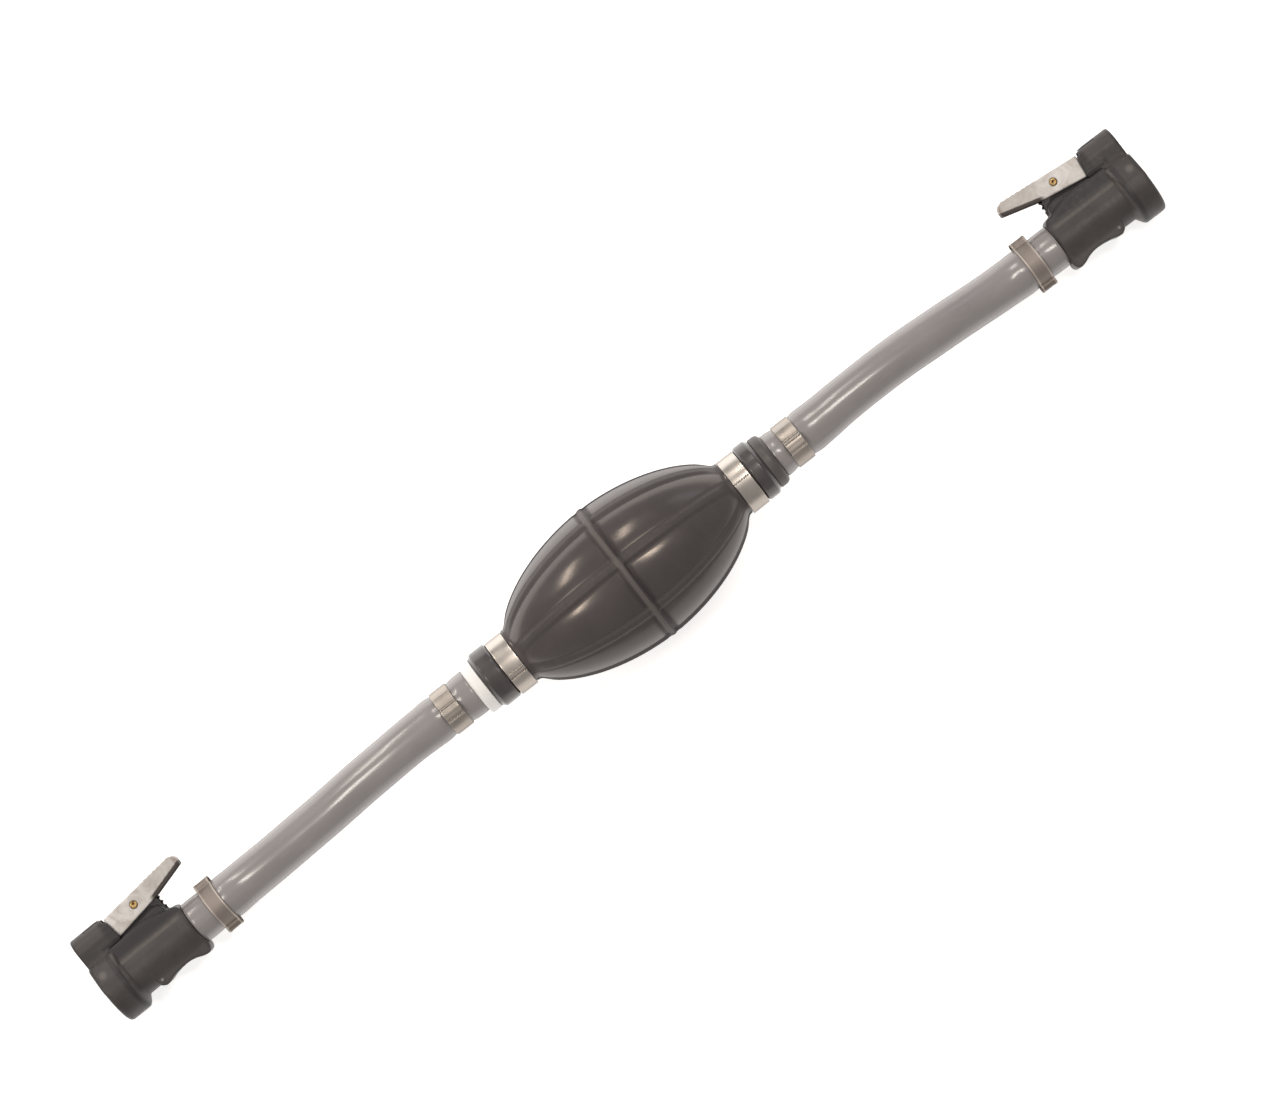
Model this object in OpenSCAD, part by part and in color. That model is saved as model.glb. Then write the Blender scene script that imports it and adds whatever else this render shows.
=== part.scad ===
// Hand siphon bulb with check valves, two short hoses and a two-prong
// quick coupler at each end. Millimetres, +Z up, lying on a flat surface.
// +X runs along the bulb towards the outlet, +Y is the side of the levers.
// The origin is on the surface, in the middle of the length.

/* [Bulb] */
// Largest outer radius of the bulb, over its bead
bulb_r = 28.4; // [27.6:0.1:29.2]
// Half length of the swollen part, to the band clamp
bulb_half = 48.8; // [48.6:0.1:49.0]
// Wall thickness of the bulb
bulb_wall = 2.6; // [2.2:0.1:3.2]
// Number of lengthwise ribs
rib_count = 8; // [6, 8, 10]
// Width of one rib
rib_w = 2; // [1.6:0.1:2.6]
// Height of ribs and bead above the lobes
rib_h = 0.7; // [0.5:0.1:1]
// Turn of the rib pattern about the bulb's axis, in degrees
rib_turn = 37.5; // [0:0.5:45]
// Width of the bead round the middle
bead_w = 2.9; // [2:0.1:4]
// Outer radius of the neck under the band clamp
neck_r = 10.3; // [10:0.1:10.5]
// Radius of the rounded bead at the end of each neck
neck_bead_r = 11.6; // [11.2:0.1:12]

/* [Hose] */
// Outer radius of the hose
hose_r = 8.25; // [8.25:0.05:8.5]
// Inner radius of the hose
hose_bore_r = 4.75; // [4.6:0.05:4.9]
// Hose radius squeezed under a clamp
hose_clamped_r = 8.2; // [8.0:0.05:8.2]

/* [Clamps] */
// Thickness of the clamp strip
strip_t = 0.7; // [0.6:0.05:0.9]
// Width of the ear clamps next to the bulb
ear_clamp_w = 7.2; // [6.5:0.1:7.6]
// Width of the two-ear clamps next to the couplers
coupler_clamp_w = 6.2; // [5.6:0.1:6.6]
// Height of an ear clamp's ear above the strip
ear_h = 2.4; // [2:0.1:3]
// Height of the two ears next to a coupler
coupler_ear_h = 1.5; // [1.3:0.1:2]

/* [Couplers] */
// Length of a coupler from its back face to its front face
coupler_len = 41; // [40.8:0.1:41.4]
// Radius of the round lower half of the front cap, half its thickness
cap_r = 12.6; // [12.4:0.1:12.8]
// Radius of the barrel that holds the shut-off poppet
barrel_r = 9.6; // [9.4:0.1:9.8]
// Radius of the fuel socket
fuel_bore_r = 4.8; // [4.6:0.05:5]
// Radius of the lock-pin socket
lock_bore_r = 3; // [2.9:0.05:3.1]
// Distance between the two sockets
prong_pitch = 17.4; // [17.3:0.05:17.5]
// Turn of the outlet coupler in plan, in degrees
outlet_yaw = -0.9; // [-1.5:0.1:0]
// Turn of the inlet coupler in plan, in degrees
inlet_yaw = 1.4; // [0:0.1:2]

/* [Levers] */
// Outer width of the channel-shaped lever
lever_w = 8; // [7.8:0.1:8.2]
// Thickness of the lever's walls
lever_t = 1.1; // [1:0.05:1.1]
// Radius of the pivot pin
pin_r = 1.4; // [1.3:0.05:1.5]

/* [Hidden] */
$fn = 64;

// Ends of the necks and places of the flanges, from the bulb's middle
out_neck = 62.4;
in_neck = 64.2;
out_flange = 63;
in_flange = 64.8;
flange_w = 4.4;
// Back faces of the couplers
out_back = [195.7, -3, cap_r - bulb_r];
in_back = [-201.7, -4.15, cap_r - bulb_r];
// Heights over the fuel socket's axis: top of the lock-pin hood, top of the front plate
hood_top = 23.6;
plate_top = 11.5;
out_reach = out_back[0] + coupler_len * cos(outlet_yaw) - plate_top * sin(outlet_yaw);
in_reach = -in_back[0] + coupler_len * cos(inlet_yaw) + plate_top * sin(inlet_yaw);
bulb_x = (in_reach - out_reach) / 2;
// Middles of the clamps along the hoses
out_ear_x = 76;
in_ear_x = -80;
coupler_clamp_u = -10.6;
// Lever pivot in the coupler's side view
pivot = [12.9, 19.4];

// Middle lines of the hoses between their straight ends: [x, y, share of the drop]
out_route = [[88, 0.2, 0], [100, 0.7, 0.05], [115, 0.9, 0.17], [130, 0.4, 0.32],
  [145, -0.6, 0.52], [160, -1.7, 0.79], [175.7, -2.65, 1]];
in_route = [[-90, 0, 0], [-103, -0.2, 0.06], [-118, -0.8, 0.19], [-134, -1.7, 0.37],
  [-150, -2.5, 0.6], [-166, -3.1, 0.84], [-181.7, -3.6, 1]];

// ---------- general shapes ----------

// Solid of revolution about X from [x, r] points
module lathe(pts) rotate([90, 0, 90]) rotate_extrude() polygon([for (p = pts) [p[1], p[0]]]);

// Cylinder along X between two places
module rod(x0, x1, r) translate([min(x0, x1), 0, 0]) rotate([0, 90, 0]) cylinder(r = r, h = abs(x1 - x0));

// Extrudes a side view drawn in X and Y to the given width, centred on Z
module side(w) translate([0, 0, -w / 2]) linear_extrude(w) children();

// Extrudes a view drawn in Y and Z along X
module along(x0, x1) translate([x0, 0, 0]) rotate([90, 0, 90]) linear_extrude(x1 - x0) children();

// Barbed stem: straight pipe with saw-tooth rings, pointing towards +X
module barbs(x0, x1, r, crest, n) {
  step = (x1 - x0) / n;
  lathe(concat([[x0, 0]],
    [for (i = [0 : n - 1]) each [[x0 + i * step, r], [x0 + i * step + 0.3, crest], [x0 + (i + 1) * step, r - 0.1]]],
    [[x1, 0]]));
}

// Coil spring along X, a swept six-sided wire
module coil(x0, x1, r, wire, turns) {
  sides = 6;
  steps = 12;
  n = round(turns * steps);
  pts = [for (i = [0 : n]) let (a = 360 * i / steps, s = i / n,
      x = x0 + wire + (x1 - x0 - 2 * wire) * s)
      for (k = [0 : sides - 1]) let (b = 360 * k / sides + 30, q = r + wire * cos(b))
        [x + wire * sin(b), q * cos(a), q * sin(a)]];
  faces = concat(
    [for (i = [0 : n - 1]) for (k = [0 : sides - 1]) let (j = (k + 1) % sides)
      [i * sides + k, (i + 1) * sides + k, (i + 1) * sides + j, i * sides + j]],
    [[for (k = [0 : sides - 1]) k]],
    [[for (k = [sides - 1 : -1 : 0]) n * sides + k]]);
  polyhedron(pts, faces, convexity = 10);
}

// Places a coupler's own frame: U forwards, V to the lever side, W across
module at_outlet() translate([bulb_x, 0, bulb_r]) translate(out_back) rotate([0, 0, outlet_yaw]) children();
module at_inlet() translate([bulb_x, 0, bulb_r]) translate(in_back) rotate([0, 0, inlet_yaw]) rotate([0, 180, 0]) children();
// Places the bulb's frame, with its middle at zero
module at_bulb() translate([bulb_x, 0, bulb_r]) children();

// ---------- bulb ----------

function swell(x) = bulb_r * sqrt(max(0.001, 1 - pow(abs(x) / (bulb_half + 3.5), 1.9)));
xs = [for (i = [-18 : 18]) bulb_half * sin(90 * i / 18)];

module swell_solid(less, ends_r, half)
  lathe(concat([[-half, 0]], [for (x = xs) if (abs(x) <= half) [x, max(swell(x) - less, ends_r)]], [[half, 0]]));

module bulb() at_bulb() color([0.16, 0.15, 0.15]) difference() {
  union() {
    swell_solid(rib_h, neck_r, bulb_half);
    // bead round the middle
    lathe([[-bead_w / 2 - 0.4, 0], [-bead_w / 2 - 0.4, bulb_r - rib_h - 0.3], [-bead_w / 2, bulb_r - 0.15], [0, bulb_r],
      [bead_w / 2, bulb_r - 0.15], [bead_w / 2 + 0.4, bulb_r - rib_h - 0.3], [bead_w / 2 + 0.4, 0]]);
    // lengthwise ribs, two on each diameter
    intersection() {
      swell_solid(0.02, neck_r, bulb_half - 1.5);
      union() for (i = [0 : rib_count / 2 - 1])
        rotate([rib_turn + i * 360 / rib_count, 0, 0]) cube([120, rib_w, 70], center = true);
    }
    // necks with a rounded bead at each end
    lathe([[-in_neck, 0], [-in_neck, neck_bead_r - 1.4], [-in_neck + 1, neck_bead_r - 0.3], [-in_neck + 2.2, neck_bead_r],
      [-57.4, neck_bead_r], [-56.9, neck_r], [-40, neck_r], [-40, 0]]);
    lathe([[out_neck, 0], [out_neck, neck_bead_r - 1.4], [out_neck - 1, neck_bead_r - 0.3], [out_neck - 2.2, neck_bead_r],
      [57.4, neck_bead_r], [56.9, neck_r], [40, neck_r], [40, 0]]);
  }
  swell_solid(rib_h + bulb_wall, 8.35, bulb_half - 2);
  rod(-70, 70, 8.35);
}

// Band clamp: one full turn and an overlapping outer layer that ends in a step and a low hook
module band_clamp(x0, x1, turn) along(x0, x1) rotate(turn) {
  difference() { circle(r = neck_r + 0.02 + strip_t); circle(r = neck_r + 0.02); }
  intersection() {
    difference() { circle(r = neck_r + 0.05 + 2 * strip_t); circle(r = neck_r + 0.4); }
    polygon([[0, 0], [0, 30], [-30, 30], [-30, -30], [-6, -30]]);
  }
  translate([-0.4, neck_r + 0.5]) square([1.5, 1.5]);
}
module outlet_bulb_clamp() at_bulb() color([0.72, 0.7, 0.68]) band_clamp(49.3, 56.5, 0);
module inlet_bulb_clamp() at_bulb() color([0.72, 0.7, 0.68]) band_clamp(-56.5, -49.3, 30);

// ---------- valve fittings ----------

// Drawn for the outlet, bulb barrel at low X, hose stem at high X
module fitting(f) difference() {
  union() {
    barrel_end = 45;
    lathe([[barrel_end, 0], [barrel_end, 7.4], [barrel_end + 0.8, 7.9], [f, 7.9], [f, 0]]);
    // two sealing rings inside the neck
    for (x = [51, 54.5]) lathe([[x, 0], [x, 7.8], [x + 1.2, 8.25], [x + 1.6, 7.8], [x + 1.6, 0]]);
    // flange between the bulb and the hose
    lathe([[f, 0], [f, 9.8], [f + 0.8, 10.6], [f + flange_w - 0.8, 10.6], [f + flange_w, 9.8], [f + flange_w, 0]]);
    // hose stem
    barbs(f + flange_w, f + flange_w + 20, 4.6, 5, 5);
  }
  rod(40, 59, 5.6);
  rod(50, 110, 3.2);
}
module outlet_valve_fitting() at_bulb() color([0.13, 0.13, 0.13]) fitting(out_flange);
module inlet_valve_fitting() at_bulb() color([0.93, 0.92, 0.9]) mirror([1, 0, 0]) fitting(in_flange);

// Ring pressed into the mouth of the valve chamber
module insert_ring() difference() { rod(45.1, 47.5, 5.58); rod(44, 49, 3.4); }
module outlet_valve_seat() at_bulb() color([0.8, 0.78, 0.72]) insert_ring();
module inlet_valve_retainer() at_bulb() color([0.8, 0.78, 0.72]) mirror([1, 0, 0]) insert_ring();

// Disc with a three-wing guide, the disc at zero and the wings towards +X
module winged_disc(disc_r, wing_r, wing_l) {
  lathe([[0, 0], [0, disc_r - 0.5], [0.5, disc_r], [1.2, disc_r], [1.2, 0]]);
  intersection() {
    rod(1, 1.2 + wing_l, wing_r);
    union() for (a = [0, 120, 240]) rotate([a, 0, 0]) translate([0, -0.5, 0]) cube([20, 1, 20]);
  }
}
module outlet_valve_poppet() at_bulb() color([0.85, 0.45, 0.2]) translate([47.55, 0, 0]) winged_disc(4.7, 5.5, 3.8);
module inlet_valve_poppet() at_bulb() color([0.85, 0.45, 0.2]) translate([-58.95, 0, 0]) winged_disc(4.7, 5.5, 3.8);
module outlet_valve_spring() at_bulb() color([0.75, 0.75, 0.77]) coil(52.65, 58.95, 3.6, 0.3, 4);
module inlet_valve_spring() at_bulb() color([0.75, 0.75, 0.77]) coil(-53.85, -47.6, 3.6, 0.3, 4);

// ---------- hoses ----------

// Smooth curve through four points, the Catmull-Rom rule
function spline(a, b, c, d, t) = 0.5 * (2 * b + (c - a) * t + (2 * a - 5 * b + 4 * c - d) * t * t + (3 * b - a - 3 * c + d) * t * t * t);

// Straight over the fitting's stem, along the route, then straight over the coupler's stem
function hose_line(start, steps, route, back, dir) = let (
    drop = back[2],
    mid = [for (p = route) [p[0], p[1], p[2] * drop]],
    n = len(mid),
    ends = concat([[start, 0, 0]], mid, [back]))
  concat([for (k = steps) [start + sign(route[0][0]) * k, 0, 0]],
    [for (i = [1 : n - 1]) for (t = [0, 0.34, 0.67])
      spline(ends[i - 1], ends[i], ends[i + 1], ends[i + 2], t)],
    [for (u = [-19.5, -16.5, -14.2, -10.8, -7.4, -4.5, 0.5]) back + u * dir]);

// Outer radius of the hose: flared over the barbs, pinched under the clamps
function hose_out(i, n) = i <= 1 ? 8.8 : i <= 4 ? hose_clamped_r : i == 5 ? 8.8 : i < n - 7 ? hose_r
  : i == n - 7 ? 8.45 : i == n - 6 ? 8.6 : i <= n - 3 ? hose_clamped_r : i == n - 2 ? 8.4 : 8.35;
function hose_in(i, n) = i <= 6 || i >= n - 7 ? 5.2 : hose_bore_r;

module hose(line) {
  sides = 16;
  n = len(line);
  rings = [for (i = [0 : n - 1]) let (
      a = line[max(i - 1, 0)], b = line[min(i + 1, n - 1)],
      d = (b - a) / norm(b - a),
      s = cross([0, 0, 1], d) / norm(cross([0, 0, 1], d)),
      up = cross(d, s))
      [line[i], s, up]];
  pts = [for (w = [0, 1]) for (i = [0 : n - 1]) for (k = [0 : sides - 1])
      let (r = w == 0 ? hose_out(i, n) : hose_in(i, n), a = 360 * k / sides)
      rings[i][0] + r * (cos(a) * rings[i][1] + sin(a) * rings[i][2])];
  m = n * sides;
  wall = [for (i = [0 : n - 2]) for (k = [0 : sides - 1]) let (j = (k + 1) % sides)
      each [[i * sides + k, i * sides + j, (i + 1) * sides + j], [i * sides + k, (i + 1) * sides + j, (i + 1) * sides + k]]];
  bore = [for (f = wall) [m + f[2], m + f[1], m + f[0]]];
  near_end = [for (k = [0 : sides - 1]) let (j = (k + 1) % sides) each [[k, m + k, m + j], [k, m + j, j]]];
  e = (n - 1) * sides;
  far_end = [for (k = [0 : sides - 1]) let (j = (k + 1) % sides) each [[e + k, m + e + j, m + e + k], [e + k, e + j, m + e + j]]];
  polyhedron(pts, [for (f = concat(wall, bore, near_end, far_end)) [f[2], f[1], f[0]]], convexity = 6);
}
module outlet_hose() at_bulb() color([0.55, 0.53, 0.52])
  hose(hose_line(out_flange + flange_w, [0, 2.4, 4.6, 8.6, 12.6, 16], out_route, out_back, [cos(outlet_yaw), sin(outlet_yaw), 0]));
module inlet_hose() at_bulb() color([0.55, 0.53, 0.52])
  hose(hose_line(-in_flange - flange_w, [0, 3.6, 6.8, 10.8, 14.8, 18], in_route, in_back, [-cos(inlet_yaw), -sin(inlet_yaw), 0]));

// ---------- hose clamps ----------

// Ear seen end on: a raised loop over the strip, between two legs
module ear(half, r, h) difference() {
  polygon([[-half - 0.9, r - 2], [-half - 0.2, r + h - 0.7], [-half + 0.7, r + h], [half - 0.7, r + h], [half + 0.2, r + h - 0.7], [half + 0.9, r - 2]]);
  polygon([[-half + 0.1, r - 2], [-half + 0.7, r + h - 0.8], [half - 0.7, r + h - 0.8], [half - 0.1, r - 2]]);
}
clamp_r = hose_clamped_r + 0.05;
module ear_clamp(x) difference() {
  union() {
    rod(x - ear_clamp_w / 2, x + ear_clamp_w / 2, clamp_r + strip_t);
    along(x - ear_clamp_w / 2, x + ear_clamp_w / 2) rotate(8) ear(4, clamp_r + strip_t, ear_h);
  }
  rod(x - ear_clamp_w, x + ear_clamp_w, clamp_r);
}
module outlet_ear_clamp() at_bulb() color([0.72, 0.7, 0.67]) ear_clamp(out_ear_x);
module inlet_ear_clamp() at_bulb() color([0.72, 0.7, 0.67]) ear_clamp(in_ear_x);

module coupler_clamp() let (x0 = coupler_clamp_u - coupler_clamp_w / 2, x1 = coupler_clamp_u + coupler_clamp_w / 2) difference() {
  union() {
    rod(x0, x1, clamp_r + strip_t);
    for (a = [-90, 90]) along(x0, x1) rotate(a) ear(3.4, clamp_r + strip_t, coupler_ear_h);
  }
  rod(x0 - 1, x1 + 1, clamp_r);
  // the strip is open under both ears
  for (a = [-90, 90]) along(x0 - 1, x1 + 1) rotate(a) translate([-2.6, 5]) square([5.2, 4.5]);
}
module outlet_coupler_clamp() at_outlet() color([0.74, 0.71, 0.68]) coupler_clamp();
module inlet_coupler_clamp() at_inlet() color([0.74, 0.71, 0.68]) coupler_clamp();

// ---------- couplers ----------

shelf_v = 13.1;
body_end = 29.6;
module body_view() polygon([[0.6, -7.4], [0.1, -8.6], [0.1, -9.6], [0.7, -10.8], [1.5, -11.4], [2.6, -11.6], [4.4, -11.2], [7, -10.1], [9.3, -9.55], [11.7, -9.4],
  [14.5, -9.6], [17.5, -10.1], [20, -10.9], [21.4, -11], [22.4, -10.5], [23.2, -9.9], [24.5, -9.7], [body_end, -9.7],
  [body_end, shelf_v], [22.6, shelf_v], [20.5, 12.9], [16, 12.3], [10, 11.1], [6.5, 10.4], [2.6, 10.3], [1.6, 9.9], [0.9, 9.2], [0.6, 8.2]]);

module coupler_body() difference() {
  union() {
    intersection() {
      side(26) body_view();
      union() {
        lathe([[0.6, 0], [0.6, barrel_r - 2.4], [0.8, barrel_r - 1.2], [1.4, barrel_r - 0.4], [2.4, barrel_r], [body_end, barrel_r], [body_end, 0]]);
        // block above and below the barrel, its back corners rounded
        translate([0, -12, 0]) rotate([-90, 0, 0]) linear_extrude(28)
          polygon([[0, -5.2], [0.3, -6.3], [0.9, -7.1], [1.8, -7.5], [body_end, -7.5], [body_end, 7.5], [1.8, 7.5], [0.9, 7.1], [0.3, 6.3], [0, 5.2]]);
      }
    }
    // fin that carries the lever
    side(5.2) polygon([[8.7, 9.5], [8.7, 16.8], [9.8, 20.6], [11.4, 21.4], [14.2, 21.4], [16.8, 20.1], [21.6, 16.6], [23.4, 15], [23.6, 12.5], [22, 9.5]]);
    // cheeks of the fin on both sides of the lever's spring
    for (w = [-2.3, 2.3]) translate([0, 0, w]) side(0.6) polygon([[4.5, 9.5], [4.8, 12.5], [5.8, 17.2], [9, 18], [9, 9.5]]);
    // stem for the hose, barbs facing the other way
    mirror([1, 0, 0]) barbs(0, 18, 4.6, 5, 5);
    rod(-0.2, 3, 4.6);
    // pips on the finger lug
    for (z = [-7.2, 7.2]) translate([21.6, -8.4, z]) sphere(r = 0.7, $fn = 24);
  }
  rod(-20, 13, 3);
  rod(12, 31, 6.4);
  // seat of the lever's spring
  translate([5.2, 9.6, 0]) rotate([-90, 0, 0]) cylinder(r = 1.8, h = 3);
  // pivot hole
  translate([pivot[0], pivot[1], -5]) cylinder(r = pin_r, h = 10);
}
module outlet_coupler_body() at_outlet() color([0.17, 0.165, 0.16]) coupler_body();
module inlet_coupler_body() at_inlet() color([0.17, 0.165, 0.16]) coupler_body();

// Rounded edge of the front plate, from back to front
plate_edge = [[29.7, cap_r - 2.4], [30.6, cap_r - 0.8], [31.6, cap_r],
  [coupler_len - 1.6, cap_r], [coupler_len - 0.5, cap_r - 0.4], [coupler_len, cap_r - 1.3]];
module coupler_cap() difference() {
  union() {
    // front plate: a turned half below, and above it a straight half with broad rounded shoulders
    intersection() {
      translate([0, -0.4, 0]) {
        lathe(concat([[29.7, 0]], plate_edge, [[coupler_len, 0]]));
        rotate([-90, 0, 0]) linear_extrude(plate_top + 0.4)
          polygon(concat(plate_edge, [for (i = [len(plate_edge) - 1 : -1 : 0]) [plate_edge[i][0], -plate_edge[i][1]]]));
      }
      along(29, coupler_len + 1) {
        translate([-0.4, 0]) circle(r = cap_r + 0.2);
        for (m = [0, 1]) mirror([0, m]) polygon([[-0.4, 0], [-0.4, cap_r + 0.2], [3, cap_r + 0.2], [5.2, 11.7], [7.4, 10.4], [10.2, 8.8], [11.1, 8], [plate_top + 0.1, 6.8], [plate_top + 0.1, 0]]);
      }
    }
    // boss and spigot that fit the barrel
    rod(body_end, 31, 8.6);
    rod(25, 31, 6.38);
    // hood round the lock pin
    intersection() {
      side(2 * (hood_top - prong_pitch)) polygon([[23.8, 14.1], [24.3, 18], [24.6, 20.4], [25.1, 21.9], [25.8, 22.9], [26.6, 23.4], [27.4, hood_top], [40.4, hood_top], [40.4, 11], [31.6, 11], [31.6, 14.1]]);
      union() {
        translate([0, prong_pitch, 0]) rod(20, 45, hood_top - prong_pitch + 0.05);
        translate([20, 8, -8]) cube([25, prong_pitch - 7.5, 16]);
      }
    }
    // foot of the hood on the body's shelf
    side(11) polygon([[24.4, 13.15], [29.65, 13.15], [29.65, 6], [32, 6], [32, 14.3], [24.4, 14.3]]);
  }
  // fuel socket with its seal groove and valve seat
  rod(27, 50, fuel_bore_r);
  rod(31.5, 33.7, 6.35);
  rod(20, 30, 3.6);
  // lock-pin socket, wider behind its front ring where the lever's hook drops in
  translate([0, prong_pitch, 0]) {
    rod(28.5, 50, lock_bore_r);
    rod(28.5, 34.4, lock_bore_r + 0.6);
  }
  // room for the lever's nose, open at the back and above
  side(8.8) polygon([[22, 13], [22, 26], [25.3, 26], [25.3, 22.9], [26.2, 22.9], [26.2, 13]]);
  side(5) polygon([[25, 19], [25, 22.9], [34.4, 22.9], [34.4, 19]]);
}
module outlet_coupler_cap() at_outlet() color([0.19, 0.18, 0.175]) coupler_cap();
module inlet_coupler_cap() at_inlet() color([0.19, 0.18, 0.175]) coupler_cap();

// ---------- levers ----------

crown = [-7.8, 25];
function top_v(u) = crown[1] - (u - crown[0]) * 0.085;
module latch_lever() difference() {
  union() {
    side(lever_w) polygon([[-9.4, 20.1], [-9.1, 24.3], [-8.6, 24.8], crown, [25, top_v(25)], [24.6, 18.6], [24, 13.5], [23.2, 13.65], [4, 16.6]]);
    // thumb serrations
    for (u = [-6.6 : 2.2 : 6.6]) translate([u, top_v(u) - 0.3, -lever_w / 2]) cylinder(r = 0.55, h = lever_w, $fn = 24);
    // nose that reaches into the lock-pin socket
    side(4.4) polygon([[22, 19.9], [22, 20.9], [33.4, 20.9], [33.4, 19.4], [33, 19], [31.8, 19], [31.8, 19.9]]);
  }
  // hollow underside
  side(lever_w - 2 * lever_t) polygon([[-8.2, 14], [-8, 23.2], [-7.4, 23.6], [21.6, top_v(21.6) - 1.2], [21.6, 20.8], [22.4, 19.9], [27, 19.9], [27, 10]]);
  translate([pivot[0], pivot[1], -10]) cylinder(r = pin_r + 0.05, h = 20);
}
module outlet_latch_lever() at_outlet() color([0.82, 0.81, 0.79]) latch_lever();
module inlet_latch_lever() at_inlet() color([0.82, 0.81, 0.79]) latch_lever();

module latch_pin() translate([pivot[0], pivot[1], -lever_w / 2 - 0.25]) {
  cylinder(r = pin_r, h = lever_w + 0.5);
}
module outlet_latch_pin() at_outlet() color([0.78, 0.6, 0.28]) latch_pin();
module inlet_latch_pin() at_inlet() color([0.78, 0.6, 0.28]) latch_pin();

module latch_spring() translate([5.2, 9.65, 0]) rotate([0, 0, 90]) coil(0, 12.65, 1.3, 0.35, 7.5);
module outlet_latch_spring() at_outlet() color([0.25, 0.25, 0.25]) latch_spring();
module inlet_latch_spring() at_inlet() color([0.25, 0.25, 0.25]) latch_spring();

// ---------- fuel socket pieces ----------

module port_seal() translate([32.6, 0, 0]) rotate([0, 90, 0]) rotate_extrude() translate([5.3, 0]) circle(r = 1, $fn = 32);
module outlet_port_seal() at_outlet() color([0.1, 0.1, 0.1]) port_seal();
module inlet_port_seal() at_inlet() color([0.1, 0.1, 0.1]) port_seal();

// Head behind the seat, nose through it towards the mouth, wings behind
module port_poppet() translate([24.95, 0, 0]) {
  mirror([1, 0, 0]) winged_disc(5.3, 6.3, 4);
  lathe([[-0.5, 0], [-0.5, 2.4], [5.6, 2.4], [6.1, 1.9], [6.1, 0]]);
}
module outlet_port_poppet() at_outlet() color([0.8, 0.78, 0.72]) port_poppet();
module inlet_port_poppet() at_inlet() color([0.8, 0.78, 0.72]) port_poppet();

module port_spring() coil(12.05, 19.7, 4.4, 0.35, 4);
module outlet_port_spring() at_outlet() color([0.75, 0.75, 0.77]) port_spring();
module inlet_port_spring() at_inlet() color([0.75, 0.75, 0.77]) port_spring();

bulb();
outlet_bulb_clamp();
inlet_bulb_clamp();
outlet_valve_fitting();
inlet_valve_fitting();
outlet_valve_seat();
inlet_valve_retainer();
outlet_valve_poppet();
inlet_valve_poppet();
outlet_valve_spring();
inlet_valve_spring();
outlet_hose();
inlet_hose();
outlet_ear_clamp();
inlet_ear_clamp();
outlet_coupler_clamp();
inlet_coupler_clamp();
outlet_coupler_body();
inlet_coupler_body();
outlet_coupler_cap();
inlet_coupler_cap();
outlet_latch_lever();
inlet_latch_lever();
outlet_latch_pin();
inlet_latch_pin();
outlet_latch_spring();
inlet_latch_spring();
outlet_port_seal();
inlet_port_seal();
outlet_port_poppet();
inlet_port_poppet();
outlet_port_spring();
inlet_port_spring();
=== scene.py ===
import math
from itertools import product

import bpy
import numpy as np
from mathutils import Matrix, Vector


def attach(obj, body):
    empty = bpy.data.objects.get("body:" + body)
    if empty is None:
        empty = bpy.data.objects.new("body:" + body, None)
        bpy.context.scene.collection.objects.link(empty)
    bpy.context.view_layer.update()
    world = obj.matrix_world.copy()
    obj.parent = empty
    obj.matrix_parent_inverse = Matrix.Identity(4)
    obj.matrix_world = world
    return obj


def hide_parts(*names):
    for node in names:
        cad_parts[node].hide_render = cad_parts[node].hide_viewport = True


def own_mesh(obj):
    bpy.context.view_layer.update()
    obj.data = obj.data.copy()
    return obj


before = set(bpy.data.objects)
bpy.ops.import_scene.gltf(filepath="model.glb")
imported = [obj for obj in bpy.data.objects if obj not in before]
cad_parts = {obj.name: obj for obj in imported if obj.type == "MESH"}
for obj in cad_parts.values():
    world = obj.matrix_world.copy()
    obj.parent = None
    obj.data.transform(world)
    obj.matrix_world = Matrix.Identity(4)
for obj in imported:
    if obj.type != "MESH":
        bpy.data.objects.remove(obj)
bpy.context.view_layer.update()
scene = bpy.context.scene
MM = 0.001

# ------------------------------------------------------------------ places, in millimetres
BULB_X, BULB_R, CAP_R = 3.0466, 28.4, 12.6
BULB_O = np.array([BULB_X, 0.0, BULB_R])


def frame_of(back, yaw, turned):
    a = math.radians(yaw)
    v = (-math.sin(a), math.cos(a), 0.0)
    if turned:
        u, w = (-math.cos(a), -math.sin(a), 0.0), (0.0, 0.0, -1.0)
    else:
        u, w = (math.cos(a), math.sin(a), 0.0), (0.0, 0.0, 1.0)
    o = np.array([BULB_X + back[0], back[1], CAP_R])
    return o, np.array(u), np.array(v), np.array(w)


AT_BULB = (BULB_O, np.array([1.0, 0, 0]), np.array([0, 1.0, 0]), np.array([0, 0, 1.0]))
AT_BULB_BACK = (BULB_O, np.array([-1.0, 0, 0]), np.array([0, 1.0, 0]), np.array([0, 0, -1.0]))
AT_OUTLET = frame_of((195.7, -3.0), -0.9, False)
AT_INLET = frame_of((-201.7, -4.15), 1.4, True)
ENDS = (("outlet", AT_OUTLET), ("inlet", AT_INLET))
PIVOT = (12.9, 19.4)

# ------------------------------------------------------------------ camera
cam_data = bpy.data.cameras.new("camera")
cam_data.sensor_fit = "HORIZONTAL"
cam_data.sensor_width = 36.0
cam_data.lens = 140.6
cam_data.clip_start, cam_data.clip_end = 0.05, 20.0
cam = bpy.data.objects.new("camera", cam_data)
scene.collection.objects.link(cam)
cam.location = (0.011757, 0.00324, 1.8284)
cam.rotation_euler = (0, 0, math.radians(-38))
scene.camera = cam


# ------------------------------------------------------------------ mesh helpers
def place(at):
    o, u, v, w = at
    m = Matrix.Identity(4)
    for i in range(3):
        m[i][0], m[i][1], m[i][2], m[i][3] = u[i], v[i], w[i], o[i] * MM
    return m


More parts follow.
